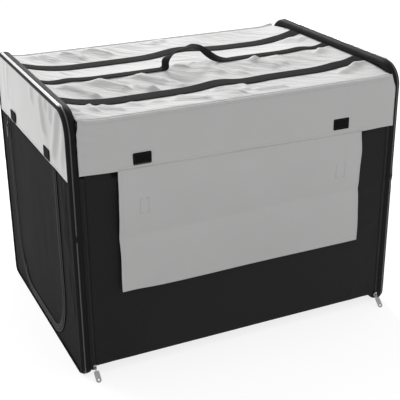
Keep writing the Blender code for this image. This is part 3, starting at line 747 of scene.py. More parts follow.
def band_relief(x, z, seed):
    """How far a long band's face stands out from flat."""
    above, below = z - band_foot(x), roof_edge(x) - z
    hem = 0.0007 * (1 - fade(above, HEM - 0.001, HEM + 0.001))
    roll = 0.0018 * (1 - fade(below, 0.0, 0.006))
    flutes = math.sin((z + 0.4 * (x + BAND_HALF)) * 300)
    gather = 0.0011 * crest(x + BAND_HALF, 0.03) * flutes * fade(above, 0.02, 0.05)
    pinch = 0.0026 * crest(x + 0.3235, 0.0035) * crest(z - 0.455, 0.015)
    soft = 0.0013 * wobble(x * 7, z * 11, seed) * fade(BAND_HALF - abs(x), 0.0, 0.03)
    return 0.0008 + hem - roll + gather - pinch + soft * fade(below, 0.0, 0.02)


def band_spot(share, up, side, seed):
    """A point of a long band, by its share from left to right and its height above the hem."""
    lap = fade(BAND_TALL - up, 0.0, 0.03)
    left, right = -BAND_HALF - 0.0035 * lap, BAND_HALF + 0.0085 * lap
    x = left + (right - left) * share
    z = band_foot(x) + (roof_edge(x) - band_foot(x)) * up / BAND_TALL
    face = FRONT_Y if side < 0 else REAR_Y
    return Vector((-side * x, face + side * band_relief(x, z, seed), z))


band_ups = [*steps(0.0, HEM, 0.0011)[:-1], *steps(HEM, BAND_TALL - 0.008, 0.0045),
            *steps(BAND_TALL - 0.0065, BAND_TALL, 0.0015)]
for name, side, seed in (("front", -1, 2.0), ("rear", 1, 6.0)):
    rows = []
    for up in band_ups:
        spots = [band_spot(share, up, side, seed) for share in steps(0.0, 1.0, 1 / 132)]
        rows.append([(spot, (spot.x, spot.z)) for spot in spots])
    band = cloth(f"{name}_band_cloth", rows, PALE_CLOTH, "base", 0.0009, f"{name}_band", (0, side, 0))
    lines = [
        [band_spot(share, up, side, seed) for share in steps(0.01, 0.99, 1 / 80)]
        for up in (0.009, 0.0025)
    ]
    seam = stitches(f"{name}_band_stitches", lines, (0, side, 0), PALE_THREAD, "base", pitch=0.0050,
                    long=0.0034, wide=0.0013, high=0.0008)
    crumple([band, seam])
print("bands and seams made")

# %% [markdown]
# ## End sheets
# Each end is one flat sheet inside its hoop, black below and pale above. Its edge follows the hoop's
# round corners, so each row of the grid is as wide as the hoop allows at that height. The left one
# has a door, so there the rows run round the door's U instead, from the door's edge to the hoop. The
# door's zip is taken as 2.6 times as long as the panel is tall, and its area counts to neither.

# %% Outline of an end
HOOP_ROUND, FOOT_ROUND = 0.0453, 0.0175
ROUND_LOSS = (1 - math.pi / 4) * 2
DOOR_HALF, DOOR_MID = (door_high.y - door_low.y) / 2, (door_high.y + door_low.y) / 2
DOOR_TOP, DOOR_LOW = door_high.z, door_low.z
DOOR_BEND = (0.085, 0.120)
ZIP_GROW = 0.0073
ZIP_HEIGHTS = 2.6
PANEL_CREASES = Folds([
    (5, 2.0, (-188, 402), (-198, 340), (-190, 262)),
    (5, 2.0, (-214, 398), (-206, 320), (-214, 236)),
    (6, 1.6, (-200, 230), (-208, 150)),
    (6, 1.6, (-226, 200), (-216, 120)),
    (7, 1.6, (-120, 6), (-60, 12)),
    (7, 1.6, (90, 8), (160, 16)),
], leans=(-1.0, 0.0))


def end_half(z):
    """Half width of an end sheet at a height."""
    half = END_HALF
    for rise, bend in ((z - panel_low.z, FOOT_ROUND), (end_band_high.z - z, HOOP_ROUND)):
        rise = max(0.0, min(rise, bend))
        half -= bend - math.sqrt(bend**2 - (bend - rise) ** 2)
    return half


def end_depth(y, z, side):
    """How far an end sheet stands in from flat."""
    slack = 0.0014 * (0.5 + 0.5 * wobble(y * 6, z * 6, 11.0 + side))
    creases = PANEL_CREASES(y, z) if side < 0 else 0.0
    drift = 0.0006 * wobble(y * 26 + z * 5, z * 5, 13.0 + side)
    return fade(END_HALF - abs(y), 0.0, 0.03) * (slack + drift - creases)


def end_spot(side, y, z):
    return (Vector((side * (END_X - end_depth(y, z, side)), y, z)), (y, z))


def u_line(middle, half, low, bend):
    """A U as (y, z), from its front top down, along and up to its rear top. Bend is (wide, tall)."""
    wide, tall = bend
    top, turns, straight = panel_high.z, 18, 26
    front = [(-half, top + (low + tall - top) * i / straight) for i in range(straight)]
    for i in range(turns):
        turn = math.pi / 2 * i / turns
        front.append((wide * (1 - math.cos(turn)) - half, low + tall * (1 - math.sin(turn))))
    bottom = [((half - wide) * (2 * i / straight - 1), low) for i in range(straight + 1)]
    rear = [(-y, z) for y, z in reversed(front)]
    return [(middle + y, z) for y, z in front + bottom + rear]


def door_line(grow):
    """The door's edge, grown outwards."""
    bend = (DOOR_BEND[0] + grow, DOOR_BEND[1] + grow)
    return u_line(DOOR_MID, DOOR_HALF + grow, DOOR_LOW - grow, bend)


# %% Black end panels
inner = door_line(ZIP_GROW)
outer = u_line(0.0, END_HALF, panel_low.z, (FOOT_ROUND, FOOT_ROUND))
rings = [
    [end_spot(-1, a[0] + (b[0] - a[0]) * share, a[1] + (b[1] - a[1]) * share) for a, b in zip(inner, outer)]
    for share in steps(0.0, 1.0, 0.06)
]
left_panel = cloth("left_end_cloth", rings, END_CLOTH, "base", 0.001, "left_end_panel", (-1, 0, 0))


def end_rows(side, low, high, relief=None):
    """Rows of an end sheet, closer together where its edge turns round a corner."""
    heights = set(steps(low, high, 0.006))
    for corner, reach in ((panel_low.z, FOOT_ROUND), (end_band_high.z, -HOOP_ROUND)):
        bend = [corner + reach * (1 - math.cos(math.pi / 2 * i / 8)) for i in range(9)]
        heights.update(z for z in bend if low <= z <= high)
    rows = []
    for z in sorted(heights):
        row = [end_spot(side, end_half(z) * share, z) for share in steps(-1.0, 1.0, 0.02)]
        for spot, (y, z) in row if relief else ():
            spot.x += side * relief(y, z)
        rows.append(row)
    return rows


right_panel = cloth("right_end_cloth", end_rows(1, panel_low.z, panel_high.z), END_CLOTH, "base", 0.001,
                    "right_end_panel", (1, 0, 0))


def door_spot(y, z):
    slack = 0.0020 * (0.5 + 0.5 * wobble(y * 9, z * 6, 21.0)) + 0.0008 * wobble(y * 30, z * 8, 23.0)
    return Vector((-END_X + slack * fade(DOOR_HALF - abs(y - DOOR_MID), 0, 0.04), y, z))


door_rows = []
bend_zs = [DOOR_LOW + DOOR_BEND[1] * (1 - math.cos(math.pi / 2 * i / 14)) for i in range(14)]
for z in [*bend_zs, *steps(DOOR_LOW + DOOR_BEND[1], DOOR_TOP, 0.009)]:
    drop = max(0.0, 1 - (z - DOOR_LOW) / DOOR_BEND[1])
    half = DOOR_HALF - DOOR_BEND[0] * (1 - math.sqrt(1 - drop * drop))
    ys = steps(DOOR_MID - half, DOOR_MID + half, half / 20)
    door_rows.append([(door_spot(y, z), (y, z)) for y in ys])
door_cloth = cloth("door_cloth", door_rows, END_CLOTH, "door", 0.001, "door_flap", (-1, 0, 0))
panel_size = (2 * END_HALF, panel_high.z - panel_low.z)
door_size = (2 * DOOR_HALF, DOOR_TOP - DOOR_LOW)
panel_area = panel_size[0] * panel_size[1] - ROUND_LOSS * FOOT_ROUND**2
door_area = door_size[0] * door_size[1] - ROUND_LOSS * DOOR_BEND[0] * DOOR_BEND[1]
zip_area = ZIP_GROW * ZIP_HEIGHTS * panel_size[1]
panel_area - door_area - zip_area
crumple([left_panel, right_panel, door_cloth])
print("end panels", [round(v, 3) for v in panel_size], "door", [round(v, 3) for v in door_size])

# %% [markdown]
# The door's zip is two tapes with a coil between them. The tapes' free edges catch the light as two
# thin lines with a dark gap, which is how the door reads from a distance. Every strip is the door's
# own U, grown outwards, so they all stay side by side round the bends.

# %% Door zip
def round_door(name, profile, finish, node=None):
    """A moulded strip round the door. The profile is (how far outside the door, how proud)."""
    rows = []
    for grow, proud in profile:
        row, run = [], 0.0
        for y, z in door_line(grow):
            spot = Vector((-END_X - proud, y, z))
            run += (spot - row[-1][0]).length if row else 0.0
            row.append((spot, (run, grow)))
        rows.append(row)
    return cloth(name, rows, finish, "base", node=node, outward=(-1, 0, 0))


seam_lines = [[(-END_X - 0.0009, y, z) for y, z in door_line(grow)] for grow in (-0.0015, 0.0088)]
door_trim = [
    round_door("door_zip_tape", [(-0.004, 0.0002), (-0.0035, 0.0007), (0.0026, 0.0007), (0.0047, 0.0007),
                                 (0.0108, 0.0007), (0.0113, 0.0002)], ZIP_TAPE, "door_zip"),
    round_door("door_zip_coil", [(0.0024, 0.0007), (0.003, 0.0017), (0.0037, 0.0021), (0.0044, 0.0017),
                                 (0.005, 0.0007)], ZIP_COIL),
    stitches("door_zip_stitches", seam_lines, (-1, 0, 0), DARK_THREAD, "base"),
]
for name, grow in (("inner", -0.0035), ("outer", 0.0108)):
    path = [Vector((-END_X - 0.0007, y, z)) for y, z in door_line(grow)]
    door_trim.append(tube(f"door_zip_edge_{name}", path, 0.0007, ZIP_EDGE, "base", sides=6))
crumple(door_trim)

# %% [markdown]
# Above the door the sheet is pale. On the left it is slack and falls in upright folds towards its
# front corner. Each fold is a ridge along a few points, tallest in its middle, as in a curtain. Noise
# alone gives hills in no order, so the large folds are placed one by one and noise adds the rest.

# %% Pale end bands
SLACK_FOLDS = Folds([
    (12, 4.6, (-28, 540), (-28, 490)),
    (12, 5.6, (-91, 540), (-102, 474), (-116, 452)),
    (8, 3.8, (-126, 540), (-121, 500)),
    (9, 4.6, (-159, 540), (-147, 484)),
    (4, 2.6, (-177, 540), (-170, 514)),
    (13, 6.4, (-206, 540), (-174, 462), (-150, 418)),
    (11, 4.4, (-246, 530), (-198, 408)),
    (4, 2.4, (-235, 524), (-226, 495)),
    (10, 2.2, (152, 545), (175, 440)),
    (9, 1.8, (191, 530), (192, 435)),
], leans=(-1.0, 0.0))


def end_hem(z):
    return 0.0006 * (1 - fade(z, end_band_low.z + 0.009, end_band_low.z + 0.011))


def slack_relief(y, z):
    inside = fade(end_half(z) - abs(y), 0.0, 0.012) * fade(end_band_high.z - z, 0.0, 0.012)
    fall = 0.35 + 0.65 * fade(z, end_band_low.z, end_band_low.z + 0.05)
    return inside * (SLACK_FOLDS(y, z) * fall + 0.0014 * wobble(y * 16, z * 5, 31.0)) + end_hem(z)


def even_relief(y, z):
    return fade(end_half(z) - abs(y), 0.0, 0.012) * 0.0016 * wobble(y * 12, z * 5, 35.0) + end_hem(z)


for name, side, relief in (("left", -1, slack_relief), ("right", 1, even_relief)):
    band = cloth(
        f"{name}_end_band_cloth", end_rows(side, end_band_low.z, end_band_high.z, relief), PALE_CLOTH,
        "base", 0.001, f"{name}_end_band", (side, 0, 0),
    )
    line = []
    for y in steps(-END_HALF + 0.006, END_HALF - 0.006, 0.008):
        z = end_band_low.z + 0.0065
        line.append((side * (END_X - end_depth(y, z, side) + relief(y, z) + 0.0001), y, z))
    seam = stitches(f"{name}_end_band_stitches", [line], (side, 0, 0), PALE_THREAD, "base")
    crumple([band, seam])

# %% [markdown]
# ## Hoop covers
# A black sleeve runs round each hoop. It is made in parts, as the hoop is: one round the lower bend,
# which stays with the base, one round the upper bend, which drops with the top frame, and a straight
# one at each corner, on the base. All share one soft section, so no joint shows. Shiny piping follows
# the outer edge, and up each corner a sewn line runs beside it. The straight run on top also has a
# thicker pale piping, a painted highlight where light falls along the top; below it the piping is dark.

# %% Path of a hoop
SLEEVE = 0.008
HOOP_Y, HOOP_BEND, FOOT_BEND = 0.2395, 0.040, 0.013
# Size and reach of the painted highlight piping, which stops where the top run bends down.
DARK_RADIUS, HIGHLIGHT_RADIUS = 0.0013, 0.0027
HIGHLIGHT_REACH = HOOP_Y - HOOP_BEND + 0.012


def hoop_line(part):
    """Points and outward directions, as ((y, z), (y, z)), of one part of a hoop's cover."""
    if part in ("front", "rear"):
        side = -1 if part == "front" else 1
        return [((side * HOOP_Y, z), (side, 0.0)) for z in steps(POST_LOW, POST_HIGH, 0.006)]
    bend = HOOP_BEND if part == "top" else FOOT_BEND
    front = [((-HOOP_Y, z), (-1.0, 0.0)) for z in steps(POST_LOW, SLEEVE + bend, 0.006)]
    for i in range(1, 13):
        turn = math.pi / 2 * i / 12
        ny, nz = -math.cos(turn), -math.sin(turn)
        front.append(((bend * (1 + ny) - HOOP_Y, SLEEVE + bend * (1 + nz)), (ny, nz)))
    flat = HOOP_Y - bend
    bottom = [((y, SLEEVE), (0.0, -1.0)) for y in steps(-flat, flat, 0.008)[1:-1]]
    line = front + bottom + [((-y, z), (-ny, nz)) for (y, z), (ny, nz) in reversed(front)]
    if part == "top":
        return [((y, SLEEVE_TOP - z), (ny, -nz)) for (y, z), (ny, nz) in line]
    return line


# %% Sleeves and piping
SLEEVE_SECTION = [
    (-0.0082, 0.0050), (-0.0086, 0.0010), (-0.0084, -0.0040), (-0.0070, -0.0074), (-0.0035, -0.0086),
    (0.0, -0.0088), (0.0030, -0.0084), (0.0058, -0.0070), (0.0074, -0.0045), (0.0081, -0.0010),
    (0.0082, 0.0030), (0.0077, 0.0068), (0.0066, 0.0104), (0.0046, 0.0134), (0.0016, 0.0146),
]


def sleeve_rows(side, part):
    """Rings round a hoop. A section point is (away from the crate's middle, outboard)."""
    rows, run, before = [], 0.0, None
    for (y, z), (ny, nz) in hoop_line(part):
        run += math.dist((y, z), before) if before else 0.0
        before = (y, z)
        knuckle = 0.0
        if part in ("front", "rear"):
            knuckle = 0.0013 * (crest(z - 0.298, 0.012) - crest(z - 0.283, 0.006))
        row, girth = [], 0.0
        for k, (away, outboard) in enumerate(SLEEVE_SECTION):
            girth += math.dist((away, outboard), SLEEVE_SECTION[k - 1]) if k else 0.0
            swell = 1 + 0.07 * wobble(y * 30 + outboard * 90, z * 30, side * 7.0)
            lift = away * swell + knuckle if away > 0 else away
            reach = outboard * swell if outboard < 0 else outboard
            spot = Vector((side * (TUBE_X + reach), y + ny * lift, max(z + nz * lift, 0.0002)))
            row.append((spot, (run, girth)))
        rows.append(row)
    return rows


def beside_hoop(side, part, away, outboard, lowest):
    """A path that runs along a hoop's cover."""
    return [
        Vector((side * (TUBE_X + outboard), y + ny * away, max(z + nz * away, lowest)))
        for (y, z), (ny, nz) in hoop_line(part)
    ]


FACING = {"base": (0, 0, -1), "top": (0, 0, 1), "front": (0, -1, 0), "rear": (0, 1, 0)}
for name, side in (("left", -1), ("right", 1)):
    for part, body, node in (
        ("base", "base", f"{name}_base_sleeve"),
        ("top", "top_frame", f"{name}_top_sleeve"),
        ("front", "base", f"{name}_front_leg_sleeve"),
        ("rear", "base", f"{name}_rear_leg_sleeve"),
    ):
        made = [
            cloth(f"{name}_{part}_hoop_cover", sleeve_rows(side, part), SLEEVE_CLOTH, body, 0.0009, node,
                  FACING[part]),
            tube(f"{name}_{part}_piping", beside_hoop(side, part, 0.0076, 0.0066, DARK_RADIUS + 0.0003),
                 DARK_RADIUS, DARK_PIPING, body),
        ]
        if part == "top":
            # Painted highlight: a thicker pale tube on the straight top run, where light falls on the
            # piping.
            edge = beside_hoop(side, part, 0.0068, 0.0086, 0.0)
            straight = [spot for spot in edge if abs(spot.y) < HIGHLIGHT_REACH]
            tube(f"{name}_painted_highlight_piping", straight, HIGHLIGHT_RADIUS, PAINTED_HIGHLIGHT_PIPING, body, pinched=True)
        if part in ("front", "rear"):
            line = beside_hoop(side, part, 0.0083, 0.005, 0.0)
            made.append(stitches(f"{name}_{part}_sleeve_stitches", [line], FACING[part], DARK_THREAD, body))
            crumple(made)
print("ends stand", round(END_X - TUBE_X, 4), "outboard of the tubes")
print("ends reach", round(END_HALF - HOOP_Y, 4), "past the tubes")
print("hoop covers from", round(POST_LOW, 4), "to", round(POST_HIGH, 4))

# %% [markdown]
# A zip runs up each corner between the wall and the hoop. Only its coil and the edge of one tape show,
# up to the band, which laps over the rest. The other tape goes in under the hoop's cover, so no light
# comes through the corner.

# %% Corner zips
TAPE_PROFILE = [(-0.0032, 0.0), (-0.0026, 0.0004), (0.0026, 0.0004), (0.0042, -0.0006), (0.0070, -0.0024)]
COIL_PROFILE = [(-0.0016, 0.0003), (-0.001, 0.0014), (0.0, 0.0018), (0.001, 0.0014), (0.0016, 0.0003)]
for name in ("front_left", "front_right", "rear_left", "rear_right"):
    low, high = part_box(f"{name}_zip")
    side = -1 if name.startswith("front") else 1
    middle, face = (low.x + high.x) / 2, FRONT_Y if side < 0 else REAR_Y
    outboard = math.copysign(1, middle)
    made = []
    for part, profile, finish, node in (
        ("tape", TAPE_PROFILE, ZIP_TAPE, f"{name}_zip"),
        ("coil", COIL_PROFILE, ZIP_COIL, None),
    ):
        rows = [
            [(Vector((middle + outboard * across, face + side * (proud - 0.0005), z)), (z, across))
             for across, proud in profile]
            for z in steps(low.z, band_low.z + 0.003, 0.006)
        ]
        made.append(cloth(f"{name}_zip_{part}", rows, finish, "base", node=node, outward=(0, side, 0)))
    crumple(made)
print("corner zips made")

# %% [markdown]
# ## Roof
# The roof hangs between the rails and the hoops. The taut handle strap holds up a low crown along its
# middle, and a ridge crosses it where the cloth was folded in its box. Folds run over it aslant, from
# the rear left to the front right. They are placed one by one as on the left band, and die out under
# the straps, which hold the cloth down. A simulated sheet would sag well but put its folds anywhere.

# %% Height of the roof
ROOF_X, ROOF_Y = roof_high.x, roof_high.y
ROOF_HOOP = roof_high.z
RAIL_IN, RAIL_FALL, HOOP_FALL, SAG = 0.2290, 0.085, 0.120, 0.009
STRAP_Y = 0.130
HANDLE_FEET = (-0.062, 0.086)
ROOF_FOLDS = Folds([
    (12, 5.0, (-292, -27), (-250, -81), (-232, -110)),
    (12, 5.0, (-233, 8), (-195, -38), (-162, -84)),
    (12, 4.4, (-149, 16), (-111, -34), (-77, -68)),
    (10, 4.0, (-157, -55), (-114, -113)),
    (9, 3.4, (-314, -126), (-268, -145)),
    (7, 4.4, (-281, -145), (-268, -199)),
    (9, 3.8, (-262, -147), (-221, -210)),
    (10, 3.4, (-211, -151), (-168, -181)),
    (6, 2.4, (-318, -169), (-305, -213)),
    (9, 3.2, (-37, 23), (-6, -16)),
    (4, 1.6, (-8, 5), (26, 16)),
    (14, 4.0, (31, 13), (33, -30), (46, -77)),
    (8, 2.8, (75, -51), (95, -91)),
    (11, 3.8, (114, 9), (143, -37)),
    (10, 3.4, (-77, -55), (-54, -110)),
    (8, 2.8, (-124, -78), (-114, -107)),
    (12, 4.4, (-112, -158), (-52, -219)),
    (11, 3.8, (-26, -157), (-1, -199), (21, -221)),
    (9, 3.4, (21, -143), (40, -165), (31, -205)),
    (8, 2.8, (-162, -162), (-130, -185)),
    (13, 3.8, (133, -12), (172, -80)),
    (13, 3.2, (191, 10), (193, -77)),
    (10, 3.0, (292, 24), (292, -26)),
    (12, 4.2, (329, 10), (279, -42)),
    (10, 3.8, (329, -125), (284, -164)),
    (11, 4.2, (329, -145), (243, -183)),
    (9, 3.4, (114, -211), (33, -200)),
    (14, 4.4, (-214, 233), (-163, 175)),
    (14, 4.4, (-162, 241), (-102, 181)),
    (8, 2.4, (-254, 104), (-238, 78)),
    (8, 2.4, (-266, 70), (-238, 50)),
    (12, 3.8, (-268, 242), (-225, 179)),
    (10, 3.2, (-297, 242), (-267, 200)),
    (11, 3.8, (7, 242), (40, 209)),
    (7, 2.4, (1, 232), (15, 199)),
    (12, 3.8, (268, 133), (322, 68)),
    (4, 1.8, (-328, -218), (-300, -210)),
    (4, 1.8, (-328, -228), (-296, -226)),
    (4, 1.6, (-328, -238), (-304, -240)),
], leans=(0.45, 0.89))
FOLD_GAIN = 1.75


def drape(share):
    """0 at the edge that holds the cloth, 1 where it hangs free, with a sharp start."""
    return 1 - (1 - min(max(share, 0.0), 1.0)) ** 2


def roof_base(x, y):
    """The roof's height before its folds."""
    from_rail = drape((RAIL_IN - abs(y)) / RAIL_FALL)
    from_hoop = drape((ROOF_X - abs(x)) / HOOP_FALL)
    edge = roof_edge(x)
    at_hoop = edge + (ROOF_HOOP - edge) * from_rail
    slack = at_hoop + (edge - SAG * from_rail - at_hoop) * from_hoop
    crown = 0.0095 * crest(y, 0.055) * fade(ROOF_X - abs(x), 0.015, 0.075)
    lean = y / STRAP_Y
    across = (0.0082 + 0.0013 * lean) * crest(x - 0.020 - 0.015 * lean, 0.050 + 0.006 * lean)
    lift = (0.0025 - 0.008 * y) * fade(x, 0.03, 0.12) * fade(ROOF_X - x, 0.02, 0.06)
    return slack + math.hypot(crown, across * from_rail) + lift * from_rail


def off_straps(x, y):
    """0 under a strap, 1 away from it."""
    side = fade(abs(abs(y) - STRAP_Y) - WIDE / 2, -0.003, 0.015)
    if HANDLE_FEET[0] < x < HANDLE_FEET[1]:
        return side
    return side * fade(abs(y) - NARROW / 2, -0.003, 0.013)


def roof_top(x, y):
    """Top of the roof's cloth."""
    across, along = 0.923 * x + 0.385 * y, 0.923 * y - 0.385 * x
    fine = 0.0016 * wobble(across * 26, along * 8, 57.0) + 0.0007 * wobble(across * 60, along * 18, 59.0)
    held = fade(RAIL_IN + 0.014 - abs(y), 0.0, 0.03) * fade(ROOF_X - abs(x), 0.0, 0.010)
    groove = 0.0022 * crest(ROOF_Y - 0.0066 - abs(y), 0.0019)
    felled = groove - 0.0008 * crest(ROOF_Y - 0.0015 - abs(y), 0.0025)
    return roof_base(x, y) + (FOLD_GAIN * ROOF_FOLDS(x, y) + fine) * held * off_straps(x, y) - felled


# %% Roof cloth
EDGE_ROLL = [(0.0012, -0.0003), (0.0024, -0.0011), (0.0032, -0.0023), (0.0034, -0.0036), (0.0029, -0.0048),
             (0.0014, -0.0056)]
FELL, FELL_SEAM = 0.012, 0.0100


def tucked(x):
    """1 along the roof's edge, and 0 where the edge goes under a hoop's cover."""
    return fade(ROOF_X - abs(x), 0.0, 0.012)


roof_xs = steps(-ROOF_X, ROOF_X, 0.0035)
fell_ys = steps(ROOF_Y - FELL, ROOF_Y, 0.0012)
roof_ys = [*[-y for y in reversed(fell_ys)], *steps(FELL - ROOF_Y, ROOF_Y - FELL, 0.0035)[1:-1], *fell_ys]
roof_rows = rows_of(roof_xs, roof_ys, lambda x, y: Vector((x, y, roof_top(x, y))))


def rolled(way):
    """Rows that carry the roof round a rail's edge and down to the band."""
    return [
        [
            (Vector((x, way * (ROOF_Y + out * tucked(x)), roof_edge(x) + down)),
             (x, way * (ROOF_Y + out - down)))
            for x in roof_xs
        ]
        for out, down in EDGE_ROLL
    ]


roof = cloth("roof_cover", [*reversed(rolled(-1)), *roof_rows, *rolled(1)], ROOF_CLOTH, "top_frame", 0.0009,
             "roof_cloth", (0, 0, 1))
for name, way in (("front", -1), ("rear", 1)):
    y = ROOF_Y - FELL_SEAM
    row = [(x, way * y, roof_top(x, y) + 0.0001) for x in steps(-ROOF_X + 0.01, ROOF_X - 0.01, 0.01)]
    stitches(f"roof_edge_stitches_{name}", [row], (0, 0, 1), GREY_THREAD, "top_frame")
print("roof", round(2 * ROOF_X, 4), "by", round(2 * ROOF_Y + 0.016, 4))

# %% [markdown]
# ## Straps and handle
# Two wide straps and a narrow one lie across the roof. Webbing is stiff along its edges, so it follows
# the roof's large shape only, with a slight wander from side to side. The narrow one leaves the roof
# for a stretch, which makes the carry handle. It stands steeper on its left foot, and leans towards
# the front on its way down. A strap is one section swept along a path, because a sheet with a
# thickness would have no rounded edges.

# %% Webbing
WEBBING_THICK = 0.0016
BELT_SECTION = [(-0.5, 0.25), (-0.485, 0.8), (-0.44, 1.0), (0.0, 1.0), (0.44, 1.0), (0.485, 0.8),
                (0.5, 0.25), (0.44, 0.0), (0.0, 0.0), (-0.44, 0.0)]


def belt(name, path, width, finish, node):
    """Webbing along a path of (point, lean to the front in degrees)."""
    grid, run = [], 0.0
    for i, (spot, lean) in enumerate(path):
        ahead = (path[min(i + 1, len(path) - 1)][0] - path[max(i - 1, 0)][0]).normalized()
        turn = Matrix.Rotation(math.radians(lean), 3, ahead)
        side = turn @ Vector((0, 1, 0))
        up = ahead.cross(side)
        run += (spot - path[i - 1][0]).length if i else 0.0
        grid.append([
            (spot + side * across * width + up * lift * WEBBING_THICK, (run, across * width))
            for across, lift in BELT_SECTION
        ])
    return cloth(name, grid, finish, "top_frame", node=node, closed=True)


def lying(y, low, high):
    """A strap's path on the roof."""
    path = []
    for x in steps(low, high, 0.006):
        wander = y + 0.0014 * wobble(x * 9, y * 20, 61.0)
        path.append((Vector((x, wander, roof_base(x, wander) + 0.0005)), 0.0))
    return path


def edge_rows(path, width):
    """Lines just inside both edges of a strap, on its face."""
    return [
        [spot + Vector((0, way * (width / 2 - 0.003), WEBBING_THICK)) for spot, _ in path]
        for way in (-1, 1)
    ]


STRAP_X = ROOF_X + 0.0012
for name, y in (("front", -STRAP_Y), ("rear", STRAP_Y)):
    path = lying(y, -STRAP_X, STRAP_X)
    belt(f"{name}_strap_webbing", path, WIDE, WIDE_WEBBING, f"{name}_roof_strap")
    stitches(f"{name}_strap_stitches", edge_rows(path, WIDE), (0, 0, 1), DARK_THREAD, "top_frame")


# %% Handle
def smooth_line(points, count):
    """A soft curve through points."""
    out = []
    for i in range(len(points) - 1):
        p0, p1, p2, p3 = (points[min(max(k, 0), len(points) - 1)] for k in range(i - 1, i + 3))
        for t in (k / count for k in range(count)):
            bend, twist = 2 * p0 - 5 * p1 + 4 * p2 - p3, 3 * p1 - p0 - 3 * p2 + p3
            out.append(0.5 * (2 * p1 + (p2 - p0) * t + bend * t * t + twist * t**3))
    return [*out, points[-1]]


HANDLE = [(-0.0655, 0, 0.5186), (-0.0600, 6, 0.5200), (-0.0572, 13, 0.5245), (-0.0570, 13, 0.5325),
          (-0.0540, 4, 0.5385), (-0.0430, -16, 0.5460), (-0.0280, -20, 0.5522), (-0.0090, -8, 0.5570),
          (0.0050, 8, 0.5580), (0.0130, 16, 0.5560), (0.0234, 30, 0.5506), (0.0337, 37, 0.5427),
          (0.0476, 36, 0.5328), (0.0630, 22, 0.5252), (0.0780, 6, 0.5218), (0.0890, 0, 0.5204)]
loop = [(Vector((x, 0.0, z)), lean) for x, lean, z in smooth_line([Vector(point) for point in HANDLE], 3)]
left_lie, right_lie = lying(0.0, -STRAP_X, -0.071), lying(0.0, 0.095, STRAP_X)
belt("handle_webbing", left_lie + loop + right_lie, NARROW, NARROW_WEBBING, "carry_handle_strap")
rows = edge_rows(left_lie, NARROW) + edge_rows(right_lie, NARROW)
stitches("handle_stitches", rows, (0, 0, 1), DARK_THREAD, "top_frame")
print("straps made, handle top", round(max(spot.z for spot, _ in loop), 4))

# %% [markdown]
# ## Window cover
# The window's cover hangs from under the band's hem and covers the net. It has a wide double hem at its
# left, fine ones at its right and foot, edges that wander, and one level crease where it was folded in
# its box. The crease is a shallow valley, because the cloth bends out again above and below it.

# %% Window cover
COVER_Y, COVER_TOP, COVER_LOW = cover_low.y, cover_high.z, cover_low.z
COVER_HALF = cover_high.x
COVER_HEM, COVER_LAP = 0.0075, 0.0015


def cover_edges(z):
    """The cover's left and right edge at a height."""
    hang = fade(COVER_TOP - z, 0.0, 0.08)
    left = -0.2600 - 0.0038 * hang + 0.0006 * math.sin(z * 60)
    right = 0.2612 - 0.0022 * crest(z - 0.31, 0.05) + 0.0005 * math.sin(z * 70)
    return left, right


def cover_foot(x):
    """How far the cover's lower edge hangs above its lowest line."""
    return 0.0042 * crest(x + COVER_HALF, 0.06) + 0.0012 * fade(x, -0.12, 0.02)


def cover_relief(x, z):
    """How far the cover's face stands out."""
    left, right = cover_edges(z)
    hems = (fade(x - left, COVER_HEM - 0.0008, COVER_HEM + 0.0008), fade(right - x, 0.0042, 0.0056),
            fade(z - COVER_LOW - cover_foot(x), 0.0042, 0.0056))
    hem = 0.0006 * (1 - min(hems))
    crease = 0.0052 * (1 - math.exp(-abs(z - 0.287 - 0.002 * math.sin(x * 9)) / 0.020))
    ripple = 0.0014 * wobble(x * 6, z * 3, 71.0)
    curl = 0.0022 * (1 - fade(x - left, 0, 0.04)) * (0.5 + 0.5 * math.sin(z * 44 + 1.0))
    return 0.0008 + hem + fade(band_foot(x) - z, 0.0, 0.05) * (crease + ripple + curl)


def on_cover(x, z, above=0.0001):
    return Vector((x, COVER_Y - cover_relief(x, z) - above, z))


shares = sorted({*steps(0.0, 1.0, 1 / 80), *steps(0.0, 0.02, 0.0025), *steps(0.988, 1.0, 0.003)})
heights = [*steps(0.0, 0.007, 0.0012)[:-1], *steps(0.007, COVER_TOP - COVER_LOW, 0.005)]
cover_rows = []
for height in heights:
    row = []
    for share in shares:
        left, right = cover_edges(COVER_LOW + height)
        x = left + (right - left) * share
        low, high = COVER_LOW + cover_foot(x), band_foot(x) + COVER_LAP
        row.append((on_cover(x, low + (high - low) * height / heights[-1], 0.0), (x, height)))
    cover_rows.append(row)
cover = cloth("window_cover_cloth", cover_rows, PALE_CLOTH, "window_cover", 0.0009, "window_flap",
              (0, -1, 0))

# %% Seams of the cover
seam_zs = steps(COVER_LOW + 0.006, COVER_TOP - 0.004, 0.004)
seam_xs = steps(-COVER_HALF + 0.006, COVER_HALF - 0.006, 0.005)
rows = [
    [on_cover(cover_edges(z)[0] + COVER_HEM - 0.0012, z) for z in seam_zs],
    [on_cover(cover_edges(z)[1] - 0.0036, z) for z in seam_zs],
    [on_cover(x, COVER_LOW + cover_foot(x) + 0.0036) for x in seam_xs],
]
cover_seams = [stitches("window_cover_stitches", rows, (0, -1, 0), PALE_THREAD, "window_cover")]
brackets = []
for x0, x1, z0, z1 in ((-0.2215, -0.2045, 0.330, 0.359), (0.2020, 0.2225, 0.323, 0.3535)):
    for edge, inward in ((x0, 0.005), (x1, -0.005)):
        corners = [(edge + inward, z0), (edge, z0), (edge, z1), (edge + inward, z1)]
        brackets.append([on_cover(x, z) for x, z in corners])
cover_seams.append(stitches("window_cover_brackets", brackets, (0, -1, 0), GREY_THREAD, "window_cover",
                            pitch=0.003, long=0.0026))
crumple([cover, *cover_seams])
print("window cover", round(2 * COVER_HALF, 4), "by", round(COVER_TOP - COVER_LOW, 4))

# %% [markdown]
# ## Tabs
# Each tab is a short piece of hook tape with clipped corners, sewn on all round. It is built as rings
# from its rim to its middle, so its edge is rounded and its sewn line sinks in a little.

